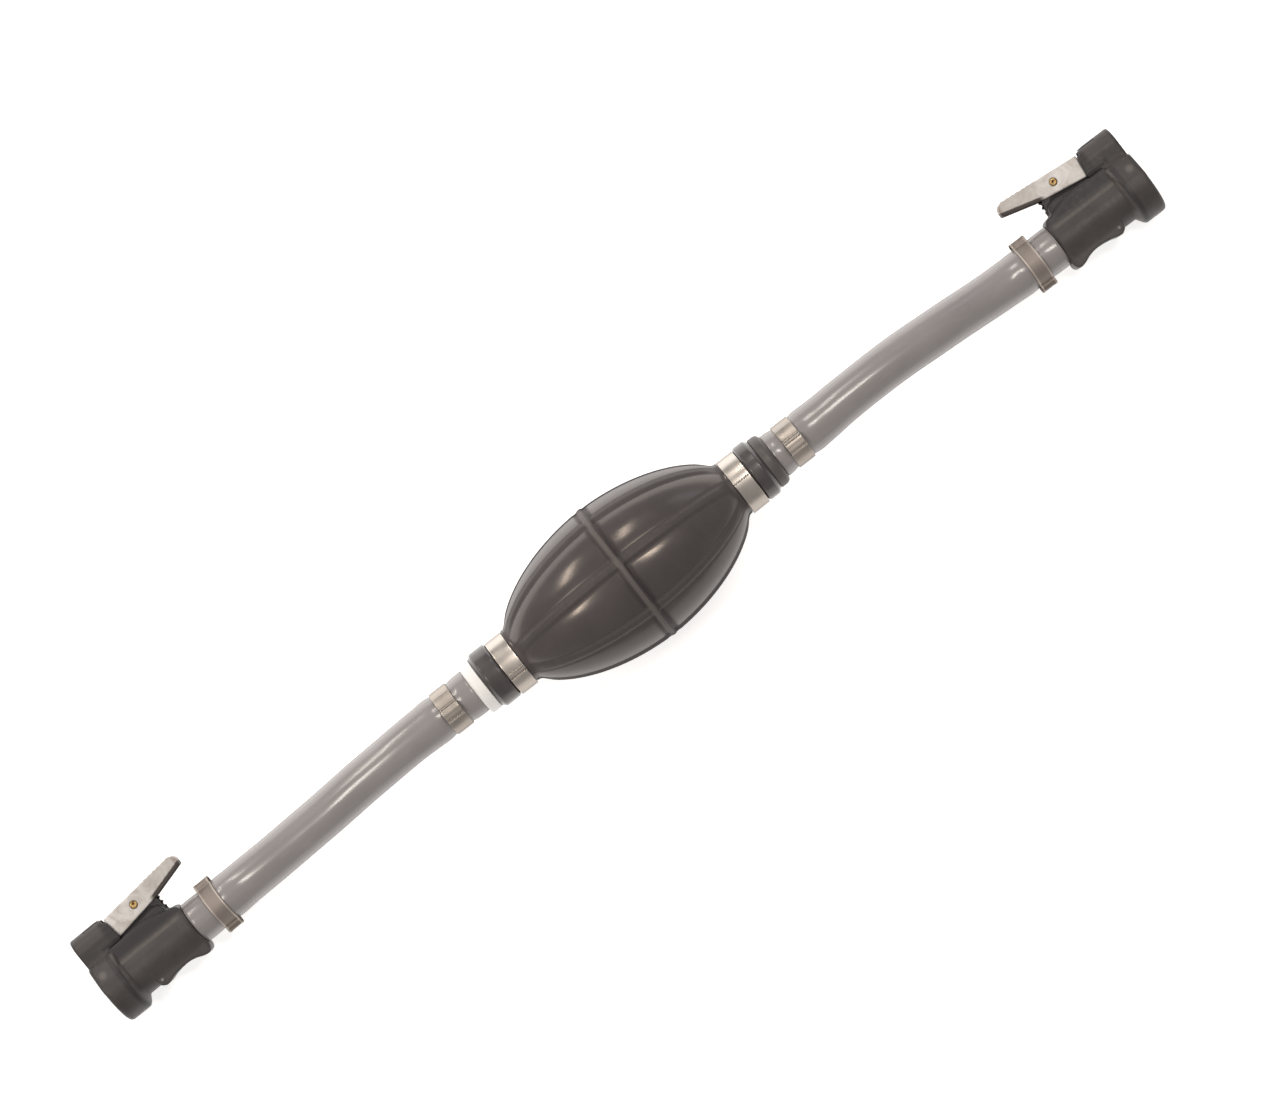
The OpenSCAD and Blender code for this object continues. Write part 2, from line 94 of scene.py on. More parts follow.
def mesh_data(name, verts, faces, sharp=40.0):
    """A closed mesh from points in millimetres and arrays of faces; turned outside out if its volume is negative."""
    V = np.asarray(verts, float)
    groups = [np.asarray(f, int) for f in (faces if isinstance(faces, list) else [faces])]
    vol = 0.0
    for g in groups:
        for k in range(1, g.shape[1] - 1):
            a, b, c = V[g[:, 0]], V[g[:, k]], V[g[:, k + 1]]
            vol += np.einsum("ij,ij->i", a, np.cross(b, c)).sum()
    if vol < 0:
        groups = [g[:, ::-1] for g in groups]
    me = bpy.data.meshes.new(name)
    loops = np.concatenate([g.ravel() for g in groups])
    sizes = np.concatenate([np.full(len(g), g.shape[1]) for g in groups])
    starts = np.concatenate([[0], np.cumsum(sizes)[:-1]])
    me.vertices.add(len(V))
    me.vertices.foreach_set("co", (V * MM).astype(np.float32).ravel())
    me.loops.add(len(loops))
    me.loops.foreach_set("vertex_index", loops.astype(np.int32))
    me.polygons.add(len(sizes))
    me.polygons.foreach_set("loop_start", starts.astype(np.int32))
    me.polygons.foreach_set("loop_total", sizes.astype(np.int32))
    me.update(calc_edges=True)
    me.validate()
    me.shade_smooth()
    if sharp is not None:
        me.set_sharp_from_angle(angle=math.radians(sharp))
    return me


def piece(name, me, mat, at, body="pump", replaces=()):
    if not me.materials:
        me.materials.append(mat)
    ob = bpy.data.objects.new(name, me)
    scene.collection.objects.link(ob)
    ob.matrix_world = place(at)
    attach(ob, body)
    if replaces:
        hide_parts(*replaces)
    return ob


def rounded(points, radii, steps=5):
    """A closed polygon with its corners rounded by arcs."""
    P = [np.array(p, float) for p in points]
    if not hasattr(radii, "__len__"):
        radii = [radii] * len(P)
    out = []
    for i, p in enumerate(P):
        a, b = P[i - 1] - p, P[(i + 1) % len(P)] - p
        la, lb = np.linalg.norm(a), np.linalg.norm(b)
        a, b = a / la, b / lb
        ang = math.acos(max(-1, min(1, float(a @ b))))
        r = radii[i]
        if r <= 0 or ang > math.radians(176):
            out.append(p)
            continue
        t = min(r / math.tan(ang / 2), 0.48 * la, 0.48 * lb)
        r = t * math.tan(ang / 2)
        mid = (a + b) / np.linalg.norm(a + b)
        c = p + mid * (r / math.sin(ang / 2))
        s, e = p + a * t - c, p + b * t - c
        a0, a1 = math.atan2(s[1], s[0]), math.atan2(e[1], e[0])
        d = (a1 - a0 + math.pi) % (2 * math.pi) - math.pi
        for k in range(steps + 1):
            q = a0 + d * k / steps
            out.append(c + r * np.array([math.cos(q), math.sin(q)]))
    return np.array(out)


def lathe(profile, n=128):
    """Turns a closed outline of (x, r) points about X. Points on the axis become poles."""
    P = np.asarray(profile, float)
    a = np.arange(n) * 2 * math.pi / n
    m = len(P)
    V = np.stack([np.repeat(P[:, 0], n), np.outer(P[:, 1], np.cos(a)).ravel(), np.outer(P[:, 1], np.sin(a)).ravel()], 1)
    on = P[:, 1] < 1e-6
    quads, tris = [], []
    j = np.arange(n)
    j2 = (j + 1) % n
    for i in range(m):
        k = (i + 1) % m
        if on[i] and on[k]:
            continue
        if on[i]:
            tris.append(np.stack([np.full(n, i * n), k * n + j, k * n + j2], 1))
        elif on[k]:
            tris.append(np.stack([i * n + j, np.full(n, k * n), i * n + j2], 1))
        else:
            quads.append(np.stack([i * n + j, k * n + j, k * n + j2, i * n + j2], 1))
    faces = [np.concatenate(g) for g in (quads, tris) if g]
    used = np.unique(np.concatenate([f.ravel() for f in faces]))
    where = np.full(len(V), -1)
    where[used] = np.arange(len(used))
    return V[used], [where[f] for f in faces]


def loft(rings, closed_path=False):
    """rings: (n, m, 3) closed sections. Caps the two ends with a fan unless the path is closed."""
    R = np.asarray(rings, float)
    n, m = R.shape[:2]
    V = R.reshape(-1, 3)
    i = np.arange(n if closed_path else n - 1)
    j = np.arange(m)
    I, J = np.meshgrid(i, j, indexing="ij")
    I2, J2 = (I + 1) % n, (J + 1) % m
    quads = np.stack([I * m + J, I * m + J2, I2 * m + J2, I2 * m + J], -1).reshape(-1, 4)
    if closed_path:
        return V, [quads]
    V = np.concatenate([V, R[0].mean(0)[None], R[-1].mean(0)[None]])
    c0, c1 = n * m, n * m + 1
    j2 = (j + 1) % m
    caps = np.concatenate([np.stack([j2, j, np.full(m, c0)], 1),
                           np.stack([(n - 1) * m + j, (n - 1) * m + j2, np.full(m, c1)], 1)])
    return V, [quads, caps]


def smooth01(x):
    x = np.clip(x, 0, 1)
    return x * x * (3 - 2 * x)


def joined(parts):
    """Several (V, faces) shells as one."""
    Vs, F, base = [], {}, 0
    for V, faces in parts:
        Vs.append(np.asarray(V, float))
        for f in faces:
            F.setdefault(f.shape[1], []).append(f + base)
        base += len(V)
    return np.concatenate(Vs), [np.concatenate(F[k]) for k in sorted(F)]


# ------------------------------------------------------------------ solids from distance fields
def poly_sdf(X, Y, pts):
    d = np.full(X.shape, 1e9)
    s = np.ones(X.shape)
    n = len(pts)
    for i in range(n):
        ax, ay = pts[i]
        bx, by = pts[i - 1]
        ex, ey = bx - ax, by - ay
        wx, wy = X - ax, Y - ay
        t = np.clip((wx * ex + wy * ey) / (ex * ex + ey * ey), 0, 1)
        d = np.minimum(d, (wx - ex * t) ** 2 + (wy - ey * t) ** 2)
        c1, c2, c3 = Y >= ay, Y < by, ex * wy > ey * wx
        s = np.where((c1 & c2 & c3) | (~c1 & ~c2 & ~c3), -s, s)
    return s * np.sqrt(d)


class Grid:
    def __init__(self, lo, hi, h):
        self.lo, self.h = np.array(lo, float), h
        self.u, self.v, self.w = (np.arange(a, b + h / 2, h) for a, b in zip(lo, hi))
        self.U = self.u[:, None, None]
        self.V = self.v[None, :, None]
        self.W = self.w[None, None, :]
        self.shape = (len(self.u), len(self.v), len(self.w))

    def side(self, pts):
        X, Y = np.meshgrid(self.u, self.v, indexing="ij")
        return poly_sdf(X, Y, pts)[:, :, None]

    def front(self, pts):
        X, Y = np.meshgrid(self.v, self.w, indexing="ij")
        return poly_sdf(X, Y, pts)[None, :, :]

    def plan(self, pts):
        X, Y = np.meshgrid(self.u, self.w, indexing="ij")
        return poly_sdf(X, Y, pts)[:, None, :]

    def turned(self, pts, v0=0.0):
        r = np.sqrt((self.v[:, None] - v0) ** 2 + self.w[None, :] ** 2)
        step = 0.1
        rs = np.arange(0, r.max() + 3 * step, step)
        X, Y = np.meshgrid(self.u, rs, indexing="ij")
        D = poly_sdf(X, Y, pts)
        q = r / step
        i = np.floor(q).astype(int)
        f = (q - i)[None]
        return D[:, i] * (1 - f) + D[:, i + 1] * f

    def rod(self, u0, u1, r, v0=0.0):
        a = np.sqrt((self.V - v0) ** 2 + self.W ** 2) - r
        b = np.maximum(u0 - self.U, self.U - u1)
        return rmax(a, b)


def rmax(a, b, r=0.0):
    """Intersection, its edge rounded by r."""
    a, b = a + r, b + r
    return np.minimum(np.maximum(a, b), 0) + np.hypot(np.maximum(a, 0), np.maximum(b, 0)) - r


def smin(a, b, k):
    h = np.clip(0.5 + 0.5 * (b - a) / k, 0, 1)
    return b + (a - b) * h - k * h * (1 - h)


def smax(a, b, k):
    return -smin(-a, -b, k)


def blurred(F, sigma):
    n = max(1, int(math.ceil(2.6 * sigma)))
    k = np.exp(-0.5 * (np.arange(-n, n + 1) / sigma) ** 2)
    k /= k.sum()
    for axis in range(3):
        pad = [(0, 0)] * 3
        pad[axis] = (n, n)
        P = np.pad(F, pad, mode="edge")
        out = np.zeros_like(F)
        for i, c in enumerate(k):
            sl = [slice(None)] * 3
            sl[axis] = slice(i, i + F.shape[axis])
            out += c * P[tuple(sl)]
        F = out
    return F


def surface(F, grid):
    """The zero surface of a field that is negative inside, as points and quads."""
    S = F < 0
    n = F.shape
    corner = list(product((0, 1), repeat=3))
    count = sum(S[a:n[0] - 1 + a, b:n[1] - 1 + b, c:n[2] - 1 + c].astype(np.int8) for a, b, c in corner)
    mixed = (count > 0) & (count < 8)
    cells = np.argwhere(mixed)
    idx = np.full(mixed.shape, -1)
    idx[mixed] = np.arange(len(cells))
    i, j, k = cells.T
    val = {c: F[i + c[0], j + c[1], k + c[2]] for c in corner}
    P, N = np.zeros((len(cells), 3)), np.zeros(len(cells))
    for a in corner:
        for b in corner:
            if sum(b) == sum(a) + 1 and sum(abs(x - y) for x, y in zip(a, b)) == 1:
                va, vb = val[a], val[b]
                m = (va < 0) != (vb < 0)
                t = np.where(m, va / np.where(m, va - vb, 1), 0)
                d = np.array(b) - np.array(a)
                P += m[:, None] * (np.array(a) + t[:, None] * d)
                N += m
    V = grid.lo + grid.h * (cells + P / N[:, None])
    quads = []
    for ax in range(3):
        o1, o2 = [(1, 2), (2, 0), (0, 1)][ax]
        lo = [slice(None)] * 3
        hi = [slice(None)] * 3
        lo[ax], hi[ax] = slice(0, n[ax] - 1), slice(1, n[ax])
        for s in (lo, hi):
            s[o1] = slice(1, n[o1] - 1)
            s[o2] = slice(1, n[o2] - 1)
        A, B = S[tuple(lo)], S[tuple(hi)]
        for first, flip in ((A & ~B, False), (~A & B, True)):
            e = np.argwhere(first)
            e[:, o1] += 1
            e[:, o2] += 1
            q = []
            for d1, d2 in ((-1, -1), (0, -1), (0, 0), (-1, 0)):
                c = e.copy()
                c[:, o1] += d1
                c[:, o2] += d2
                q.append(idx[c[:, 0], c[:, 1], c[:, 2]])
            q = np.stack(q, 1)
            quads.append(q[:, ::-1] if flip else q)
    return V, [np.concatenate(quads)]


# ------------------------------------------------------------------ materials
class Mat:
    """A material with its shader's constants set on the shader's own sockets."""

    def __init__(self, name, base, rough=0.4, metal=0.0, spec=0.5, coat=0.0, coat_rough=0.1, ior=1.5):
        self.m = bpy.data.materials.new(name)
        self.m.use_nodes = True
        self.nt = self.m.node_tree
        self.b = self.nt.nodes["Principled BSDF"]
        self.base = base
        self.set("Base Color", (*base, 1))
        self.set("Roughness", rough)
        self.set("Metallic", metal)
        self.set("Specular IOR Level", spec)
        self.set("IOR", ior)
        self.set("Coat Weight", coat)
        self.set("Coat Roughness", coat_rough)
        self.m.diffuse_color = (*base, 1)
        self.tc = self.nt.nodes.new("ShaderNodeTexCoord")
        self.height = None

    def set(self, socket, value):
        self.b.inputs[socket].default_value = value

    def link(self, a, b):
        self.nt.links.new(a, b)

    def node(self, kind, **props):
        n = self.nt.nodes.new(kind)
        for k, v in props.items():
            setattr(n, k, v)
        return n

    def coords(self, scale=(1, 1, 1), rot=(0, 0, 0)):
        m = self.node("ShaderNodeMapping")
        m.inputs["Scale"].default_value = scale
        m.inputs["Rotation"].default_value = rot
        self.link(self.tc.outputs["Object"], m.inputs["Vector"])
        return m.outputs["Vector"]

    def noise(self, per_m, detail=3.0, rough=0.5, vec=None, distort=0.0):
        n = self.node("ShaderNodeTexNoise")
        n.inputs["Scale"].default_value = per_m
        n.inputs["Detail"].default_value = detail
        n.inputs["Roughness"].default_value = rough
        n.inputs["Distortion"].default_value = distort
        self.link(vec if vec is not None else self.tc.outputs["Object"], n.inputs["Vector"])
        return n.outputs["Fac"]

    def ramp(self, value, lo, hi, a=0.0, b=1.0):
        """value mapped from lo..hi to a..b, held outside."""
        n = self.node("ShaderNodeMapRange")
        n.clamp = True
        n.inputs["From Min"].default_value = lo
        n.inputs["From Max"].default_value = hi
        n.inputs["To Min"].default_value = a
        n.inputs["To Max"].default_value = b
        self.link(value, n.inputs["Value"])
        return n.outputs["Result"]

    def soft(self, value, lo, hi, a=0.0, b=1.0):
        n = self.node("ShaderNodeMapRange")
        n.interpolation_type = "SMOOTHSTEP"
        n.inputs["From Min"].default_value = lo
        n.inputs["From Max"].default_value = hi
        n.inputs["To Min"].default_value = a
        n.inputs["To Max"].default_value = b
        self.link(value, n.inputs["Value"])
        return n.outputs["Result"]

    def math(self, op, a, b=None):
        n = self.node("ShaderNodeMath", operation=op)
        for i, x in enumerate((a, b)):
            if x is None:
                continue
            if isinstance(x, (int, float)):
                n.inputs[i].default_value = x
            else:
                self.link(x, n.inputs[i])
        return n.outputs[0]

    def mix(self, fac, a, b):
        n = self.node("ShaderNodeMix", data_type="RGBA")
        ins = [s for s in n.inputs if s.enabled]
        if isinstance(fac, (int, float)):
            n.inputs[0].default_value = fac
        else:
            self.link(fac, n.inputs[0])
        for s, x in ((n.inputs[6], a), (n.inputs[7], b)):
            if isinstance(x, tuple):
                s.default_value = (*x, 1)
            else:
                self.link(x, s)
        return n.outputs[2]

    def axis(self, k):
        n = self.node("ShaderNodeSeparateXYZ")
        self.link(self.tc.outputs["Object"], n.inputs[0])
        return n.outputs[k]

    def upright(self, lo, hi, a=0.0, b=1.0):
        """From how far the surface faces up or down in the world, 0 on an upright wall."""
        g = self.node("ShaderNodeNewGeometry")
        n = self.node("ShaderNodeSeparateXYZ")
        self.link(g.outputs["Normal"], n.inputs[0])
        return self.soft(self.math("ABSOLUTE", n.outputs[2]), lo, hi, a, b)

    def color(self, out):
        self.link(out, self.b.inputs["Base Color"])

    def shine(self, out, spec, coat):
        """Surface and coat reflection, both scaled by out."""
        self.link(self.math("MULTIPLY", out, spec), self.b.inputs["Specular IOR Level"])
        self.link(self.math("MULTIPLY", out, coat), self.b.inputs["Coat Weight"])

    def rough(self, out):
        self.link(out, self.b.inputs["Roughness"])

    def bump(self, height, distance, strength=1.0):
        """distance in metres; several bumps are chained."""
        n = self.node("ShaderNodeBump")
        n.inputs["Strength"].default_value = strength
        n.inputs["Distance"].default_value = distance
        self.link(height, n.inputs["Height"])
        if self.height is not None:
            self.link(self.height, n.inputs["Normal"])
        self.height = n.outputs["Normal"]
        self.link(self.height, self.b.inputs["Normal"])

    def edges(self, lo=0.5, hi=0.62):
        """Worn edges, from how pointed the surface is."""
        g = self.node("ShaderNodeNewGeometry")
        return self.ramp(g.outputs["Pointiness"], lo, hi)


def rubber_material():
    m = Mat("bulb_rubber", (0.060, 0.053, 0.056), rough=0.16, spec=0.55, coat=0.35, coat_rough=0.42)
    m.set("Specular Tint", (1.0, 0.87, 0.75, 1))
    cloud = m.noise(55, 4, 0.55)
    fine = m.noise(700, 3, 0.6)
    dust = m.noise(260, 5, 0.7)
    c = m.mix(m.ramp(cloud, 0.35, 0.7), (0.052, 0.0445, 0.0465), (0.069, 0.0590, 0.0610))
    c = m.mix(m.ramp(dust, 0.60, 0.80, 0.0, 0.30), c, (0.100, 0.087, 0.080))
    c = m.mix(m.math("MULTIPLY", m.edges(0.53, 0.60), m.ramp(fine, 0.3, 0.7, 0.25, 0.7)), c, (0.098, 0.086, 0.082))
    # ribs are paler and duller than the lobes, and the bead is duller too
    x, y, z = m.axis(0), m.axis(1), m.axis(2)
    turn = m.math("DIVIDE", m.math("SUBTRACT", m.math("ARCTAN2", z, y), math.radians(81.4)), math.pi / 4)
    out = m.math("SQRT", m.math("ADD", m.math("MULTIPLY", y, y), m.math("MULTIPLY", z, z)))
    away = m.math("MULTIPLY", m.math("MULTIPLY", m.math("PINGPONG", turn, 0.5), out), math.pi / 4)
    rib = m.soft(away, 0.0019, 0.0036, 1, 0)
    dull = m.math("MAXIMUM", m.soft(away, 0.0022, 0.0035, 1, 0), m.soft(m.math("ABSOLUTE", x), 0.0024, 0.0038, 1, 0))
    c = m.mix(m.math("MULTIPLY", rib, m.ramp(fine, 0.3, 0.7, 0.4, 0.75)), c, (0.088, 0.079, 0.078))
    # painted highlight down the flank of the bead towards -X
    painted_highlight = m.math("MULTIPLY", m.soft(x, -0.0019, -0.0010, 0, 1), m.soft(x, 0.0000, 0.0007, 1, 0))
    c = m.mix(m.math("MULTIPLY", painted_highlight, 0.8), c, (0.135, 0.120, 0.114))
    # painted shade down the flank of the bead towards +X
    dark = m.math("MULTIPLY", m.soft(x, 0.0006, 0.0012, 0, 1), m.soft(x, 0.0019, 0.0026, 1, 0))
    c = m.mix(m.math("MULTIPLY", dark, 0.6), c, (0.036, 0.032, 0.033))
    m.color(c)
    m.rough(m.math("ADD", m.ramp(cloud, 0.3, 0.7, 0.175, 0.215), m.math("ADD", m.ramp(dust, 0.55, 0.8, 0.0, 0.05), m.math("MULTIPLY", dull, 0.24))))
    shine = m.math("SUBTRACT", 1.0, m.math("MULTIPLY", dull, 0.72))
    shine = m.math("MULTIPLY", shine, m.upright(0.16, 0.44))
    shine = m.math("MULTIPLY", shine, m.soft(y, -0.024, -0.010, 0.72, 1.0))
    m.shine(shine, 0.55, 0.35)
    m.bump(m.noise(2600, 2, 0.5), 0.000008, 0.4)
    m.bump(m.noise(300, 3, 0.5), 0.00004, 0.3)
    return m.m


def neck_material():
    m = Mat("neck_rubber", (0.060, 0.053, 0.054), rough=0.40, spec=0.35, coat=0.8, coat_rough=0.2)
    cloud = m.noise(120, 4, 0.55)
    c = m.mix(m.ramp(cloud, 0.35, 0.7), (0.052, 0.0455, 0.0460), (0.072, 0.0630, 0.0620))
    m.color(c)
    m.rough(m.ramp(cloud, 0.3, 0.7, 0.3, 0.45))
    m.bump(m.noise(2200, 2, 0.5), 0.000015, 0.6)
    return m.m


def hose_material():
    m = Mat("hose_vinyl", (0.34, 0.32, 0.31), rough=0.44, spec=0.5, coat=1.0, coat_rough=0.19)
    cloud = m.noise(42, 4, 0.5)
    long_lines = m.noise(600, 3, 0.55, m.coords((0.045, 1, 1)))
    specks = m.noise(900, 4, 0.7)
    c = m.mix(m.ramp(cloud, 0.3, 0.7), (0.252, 0.233, 0.230), (0.286, 0.265, 0.263))
    c = m.mix(m.ramp(long_lines, 0.55, 0.75, 0, 0.35), c, (0.325, 0.306, 0.302))
    c = m.mix(m.ramp(specks, 0.70, 0.80, 0, 0.45), c, (0.20, 0.18, 0.165))
    m.color(c)
    m.rough(m.ramp(cloud, 0.3, 0.7, 0.40, 0.50))
    m.shine(m.upright(0.08, 0.42), 0.4, 1.0)
    m.bump(long_lines, 0.00005, 0.3)
    m.bump(m.noise(90, 2, 0.4), 0.0004, 0.25)
    m.bump(m.noise(2400, 2, 0.5), 0.00001, 0.35)
    return m.m


def steel_material(name="clamp_steel", base=(0.62, 0.572, 0.52), rough=(0.28, 0.37)):
    m = Mat(name, base, rough=0.32, metal=1.0, spec=0.5)
    cloud = m.noise(110, 3, 0.5)
    brushed = m.noise(900, 4, 0.65, m.coords((6.0, 0.5, 0.5)))
    stain = m.noise(420, 5, 0.65)
    hi = tuple(min(1, x * 1.06) for x in base)
    lo = tuple(x * 0.90 for x in base)
    c = m.mix(m.ramp(cloud, 0.3, 0.7), lo, hi)
    c = m.mix(m.ramp(stain, 0.62, 0.80, 0, 0.35), c, (0.30, 0.25, 0.20))
    # painted shade: darker on the side away from the ears, and on the flanks that face sideways
    c = m.mix(m.soft(m.axis(1), -0.0105, -0.004, 0.42, 0.0), c, tuple(x * k for x, k in zip(base, (0.42, 0.38, 0.35))))
    c = m.mix(m.upright(0.12, 0.48, 0.8, 0.0), c, tuple(x * k for x, k in zip(base, (0.24, 0.21, 0.19))))
    if name.endswith("dull"):
        # painted highlight along both edges of the two-ear clamps
        off = m.math("ABSOLUTE", m.math("ADD", m.axis(0), 0.0106))
        painted_rim_highlight = m.math("MULTIPLY", m.soft(off, 0.0022, 0.0026, 0, 1), m.soft(off, 0.00285, 0.0031, 1, 0))
        c = m.mix(m.math("MULTIPLY", painted_rim_highlight, 0.75), c, (0.62, 0.57, 0.515))
    m.color(c)
    m.rough(m.math("ADD", m.ramp(cloud, 0.3, 0.7, *rough), m.ramp(stain, 0.6, 0.8, 0, 0.1)))
    m.bump(brushed, 0.00001, 0.4)
    m.bump(m.noise(1500, 3, 0.6), 0.000006, 0.4)
    return m.m


def black_nylon_material():
    m = Mat("black_nylon", (0.032, 0.030, 0.029), rough=0.42, spec=0.5)
    cloud = m.noise(160, 4, 0.6)
    m.color(m.mix(m.ramp(cloud, 0.3, 0.7), (0.076, 0.068, 0.066), (0.102, 0.092, 0.089)))
    m.rough(m.ramp(cloud, 0.3, 0.7, 0.36, 0.52))
    m.bump(m.noise(1800, 3, 0.6), 0.00003, 0.5)
    return m.m


def white_nylon_material():
    m = Mat("white_nylon", (0.80, 0.78, 0.73), rough=0.42, spec=0.5)
    cloud = m.noise(130, 4, 0.6)
    c = m.mix(m.ramp(cloud, 0.3, 0.7), (0.90, 0.89, 0.865), (0.95, 0.94, 0.925))
    c = m.mix(m.ramp(m.noise(700, 4, 0.7), 0.66, 0.80, 0, 0.4), c, (0.55, 0.50, 0.43))
    m.color(c)
    m.rough(m.ramp(cloud, 0.3, 0.7, 0.34, 0.5))
    m.bump(m.noise(1500, 3, 0.6), 0.00003, 0.4)
    return m.m


def coupler_material(name="coupler_plastic", front=False):
    m = Mat(name, (0.066, 0.060, 0.060), rough=0.46, spec=0.28)
    cloud = m.noise(75, 4, 0.6)
    fine = m.noise(520, 4, 0.65)
    c = m.mix(m.ramp(cloud, 0.35, 0.65), (0.056, 0.0505, 0.0500), (0.073, 0.0660, 0.0650))
    c = m.mix(m.ramp(fine, 0.58, 0.76, 0, 0.45), c, (0.092, 0.081, 0.076))
    c = m.mix(m.math("MULTIPLY", m.edges(0.52, 0.60), m.ramp(fine, 0.35, 0.65, 0.2, 0.8)), c, (0.120, 0.106, 0.098))
    u, v, w = m.axis(0), m.axis(1), m.axis(2)
    if front:
        # painted shade in the corner behind the front plate
        corner = m.math("MULTIPLY", m.soft(u, 0.0306, 0.0314, 0, 1), m.soft(u, 0.0324, 0.0336, 1, 0))
        low = m.soft(v, 0.0095, 0.0125, 1, 0)
        c = m.mix(m.math("MULTIPLY", m.math("MULTIPLY", corner, low), 0.60), c, (0.026, 0.025, 0.028))
        # painted highlight along the line beside it
        line = m.math("MULTIPLY", m.soft(u, 0.0294, 0.0299, 0, 1), m.soft(u, 0.0306, 0.0310, 1, 0))
        line = m.math("MULTIPLY", line, m.math("MULTIPLY", m.soft(v, -0.007, 0.006, 0.25, 1), m.soft(v, 0.0126, 0.0138, 1, 0)))
        c = m.mix(m.math("MULTIPLY", line, m.ramp(fine, 0.3, 0.6, 0.35, 0.8)), c, (0.125, 0.112, 0.105))
        # painted highlight on the shoulder of the plate, and a dark strip along its front
        du = m.math("SUBTRACT", u, 0.0370)
        dv = m.math("SUBTRACT", v, 0.0066)
        far = m.math("SQRT", m.math("ADD", m.math("MULTIPLY", du, du), m.math("MULTIPLY", dv, dv)))
        c = m.mix(m.math("MULTIPLY", m.soft(far, 0.0004, 0.0023, 1, 0), 0.85), c, (0.150, 0.134, 0.125))
        strip = m.math("MULTIPLY", m.soft(u, 0.0386, 0.0394, 0, 1), m.soft(v, 0.0015, 0.0045, 0, 1))
        c = m.mix(m.math("MULTIPLY", strip, 0.5), c, (0.034, 0.032, 0.034))
        # hood: painted highlight across its upper part, painted shade at its rear end, and a darker band low on its
        # side
        hood_painted_highlight = m.math("MULTIPLY", m.soft(u, 0.0275, 0.0290, 0, 1), m.soft(u, 0.0385, 0.0400, 1, 0))
        hood_painted_highlight = m.math("MULTIPLY", hood_painted_highlight, m.math("MULTIPLY", m.soft(v, 0.0150, 0.0190, 0, 1), m.soft(v, 0.0212, 0.0232, 1, 0)))
        c = m.mix(m.math("MULTIPLY", hood_painted_highlight, m.ramp(fine, 0.3, 0.7, 0.45, 0.85)), c, (0.084, 0.074, 0.071))
        side = m.soft(u, 0.0268, 0.0285, 1, 0)
        c = m.mix(m.math("MULTIPLY", side, 0.75), c, (0.030, 0.028, 0.029))
        c = m.mix(m.math("MULTIPLY", m.soft(v, 0.0118, 0.0135, 0, 1), m.soft(v, 0.0165, 0.0190, 0.6, 0)), c, (0.036, 0.033, 0.034))
    else:
        # painted highlight along the ridge of the barrel, and the pale pips on the finger lug
        edge = m.math("MULTIPLY", m.soft(v, 0.0046, 0.0056, 0, 1), m.soft(v, 0.0061, 0.0070, 1, 0))
        edge = m.math("MULTIPLY", edge, m.soft(u, 0.0015, 0.0035, 0, 1))
        c = m.mix(m.math("MULTIPLY", edge, m.ramp(fine, 0.3, 0.6, 0.45, 0.9)), c, (0.128, 0.115, 0.107))
        # darker above it
        c = m.mix(m.soft(v, 0.0066, 0.0080, 0, 0.9), c, (0.036, 0.0335, 0.0355))
        du = m.math("SUBTRACT", u, 0.0216)
        dv = m.math("SUBTRACT", v, -0.0083)
        far = m.math("SQRT", m.math("ADD", m.math("MULTIPLY", du, du), m.math("MULTIPLY", dv, dv)))
        pip = m.soft(far, 0.00045, 0.00075, 1, 0)
        c = m.mix(m.math("MULTIPLY", pip, 0.85), c, (0.24, 0.225, 0.215))
    m.color(c)
    m.rough(m.ramp(fine, 0.3, 0.7, 0.36, 0.50))
    m.bump(m.noise(1700, 3, 0.6), 0.00006, 0.5)
    m.bump(m.noise(160, 2, 0.5), 0.0002, 0.2)
    return m.m


def lever_material():
    m = Mat("lever_alloy", (0.82, 0.80, 0.77), rough=0.45, metal=0.2, spec=0.5)
    big = m.noise(170, 4, 0.6, distort=0.6)
    fine = m.noise(1300, 4, 0.65)
    c = m.mix(m.ramp(big, 0.36, 0.64), (0.45, 0.415, 0.385), (0.75, 0.73, 0.71))
    c = m.mix(m.ramp(fine, 0.56, 0.76, 0, 0.45), c, (0.44, 0.395, 0.355))
    u, v = m.axis(0), m.axis(1)
    # greyer towards the tail, with painted shade on its tip
    c = m.mix(m.soft(u, 0.0, 0.016, 0.5, 0), c, (0.40, 0.37, 0.34))
    c = m.mix(m.math("MULTIPLY", m.soft(u, -0.0088, -0.0074, 1, 0), m.ramp(fine, 0.35, 0.6, 0.3, 0.9)), c, (0.20, 0.14, 0.11))
    # painted shade: dark strip along the lower edge of the tail, for the shaded inner side of the far flange
    line = m.math("ADD", m.math("MULTIPLY", u, -0.2612), 0.017645)
    above = m.math("SUBTRACT", v, m.math("ADD", line, m.math("MULTIPLY", fine, 0.0005)))
    dark = m.math("MULTIPLY", m.soft(above, 0.0012, 0.0017, 1, 0), m.soft(u, 0.005, 0.0075, 1, 0))
    c = m.mix(m.math("MULTIPLY", dark, 0.97), c, (0.045, 0.036, 0.032))
    m.color(c)
    m.rough(m.math("ADD", m.ramp(big, 0.3, 0.7, 0.38, 0.54), m.math("MULTIPLY", dark, 0.15)))
    m.bump(fine, 0.00006, 0.5)
    m.bump(big, 0.0003, 0.25)
    return m.m


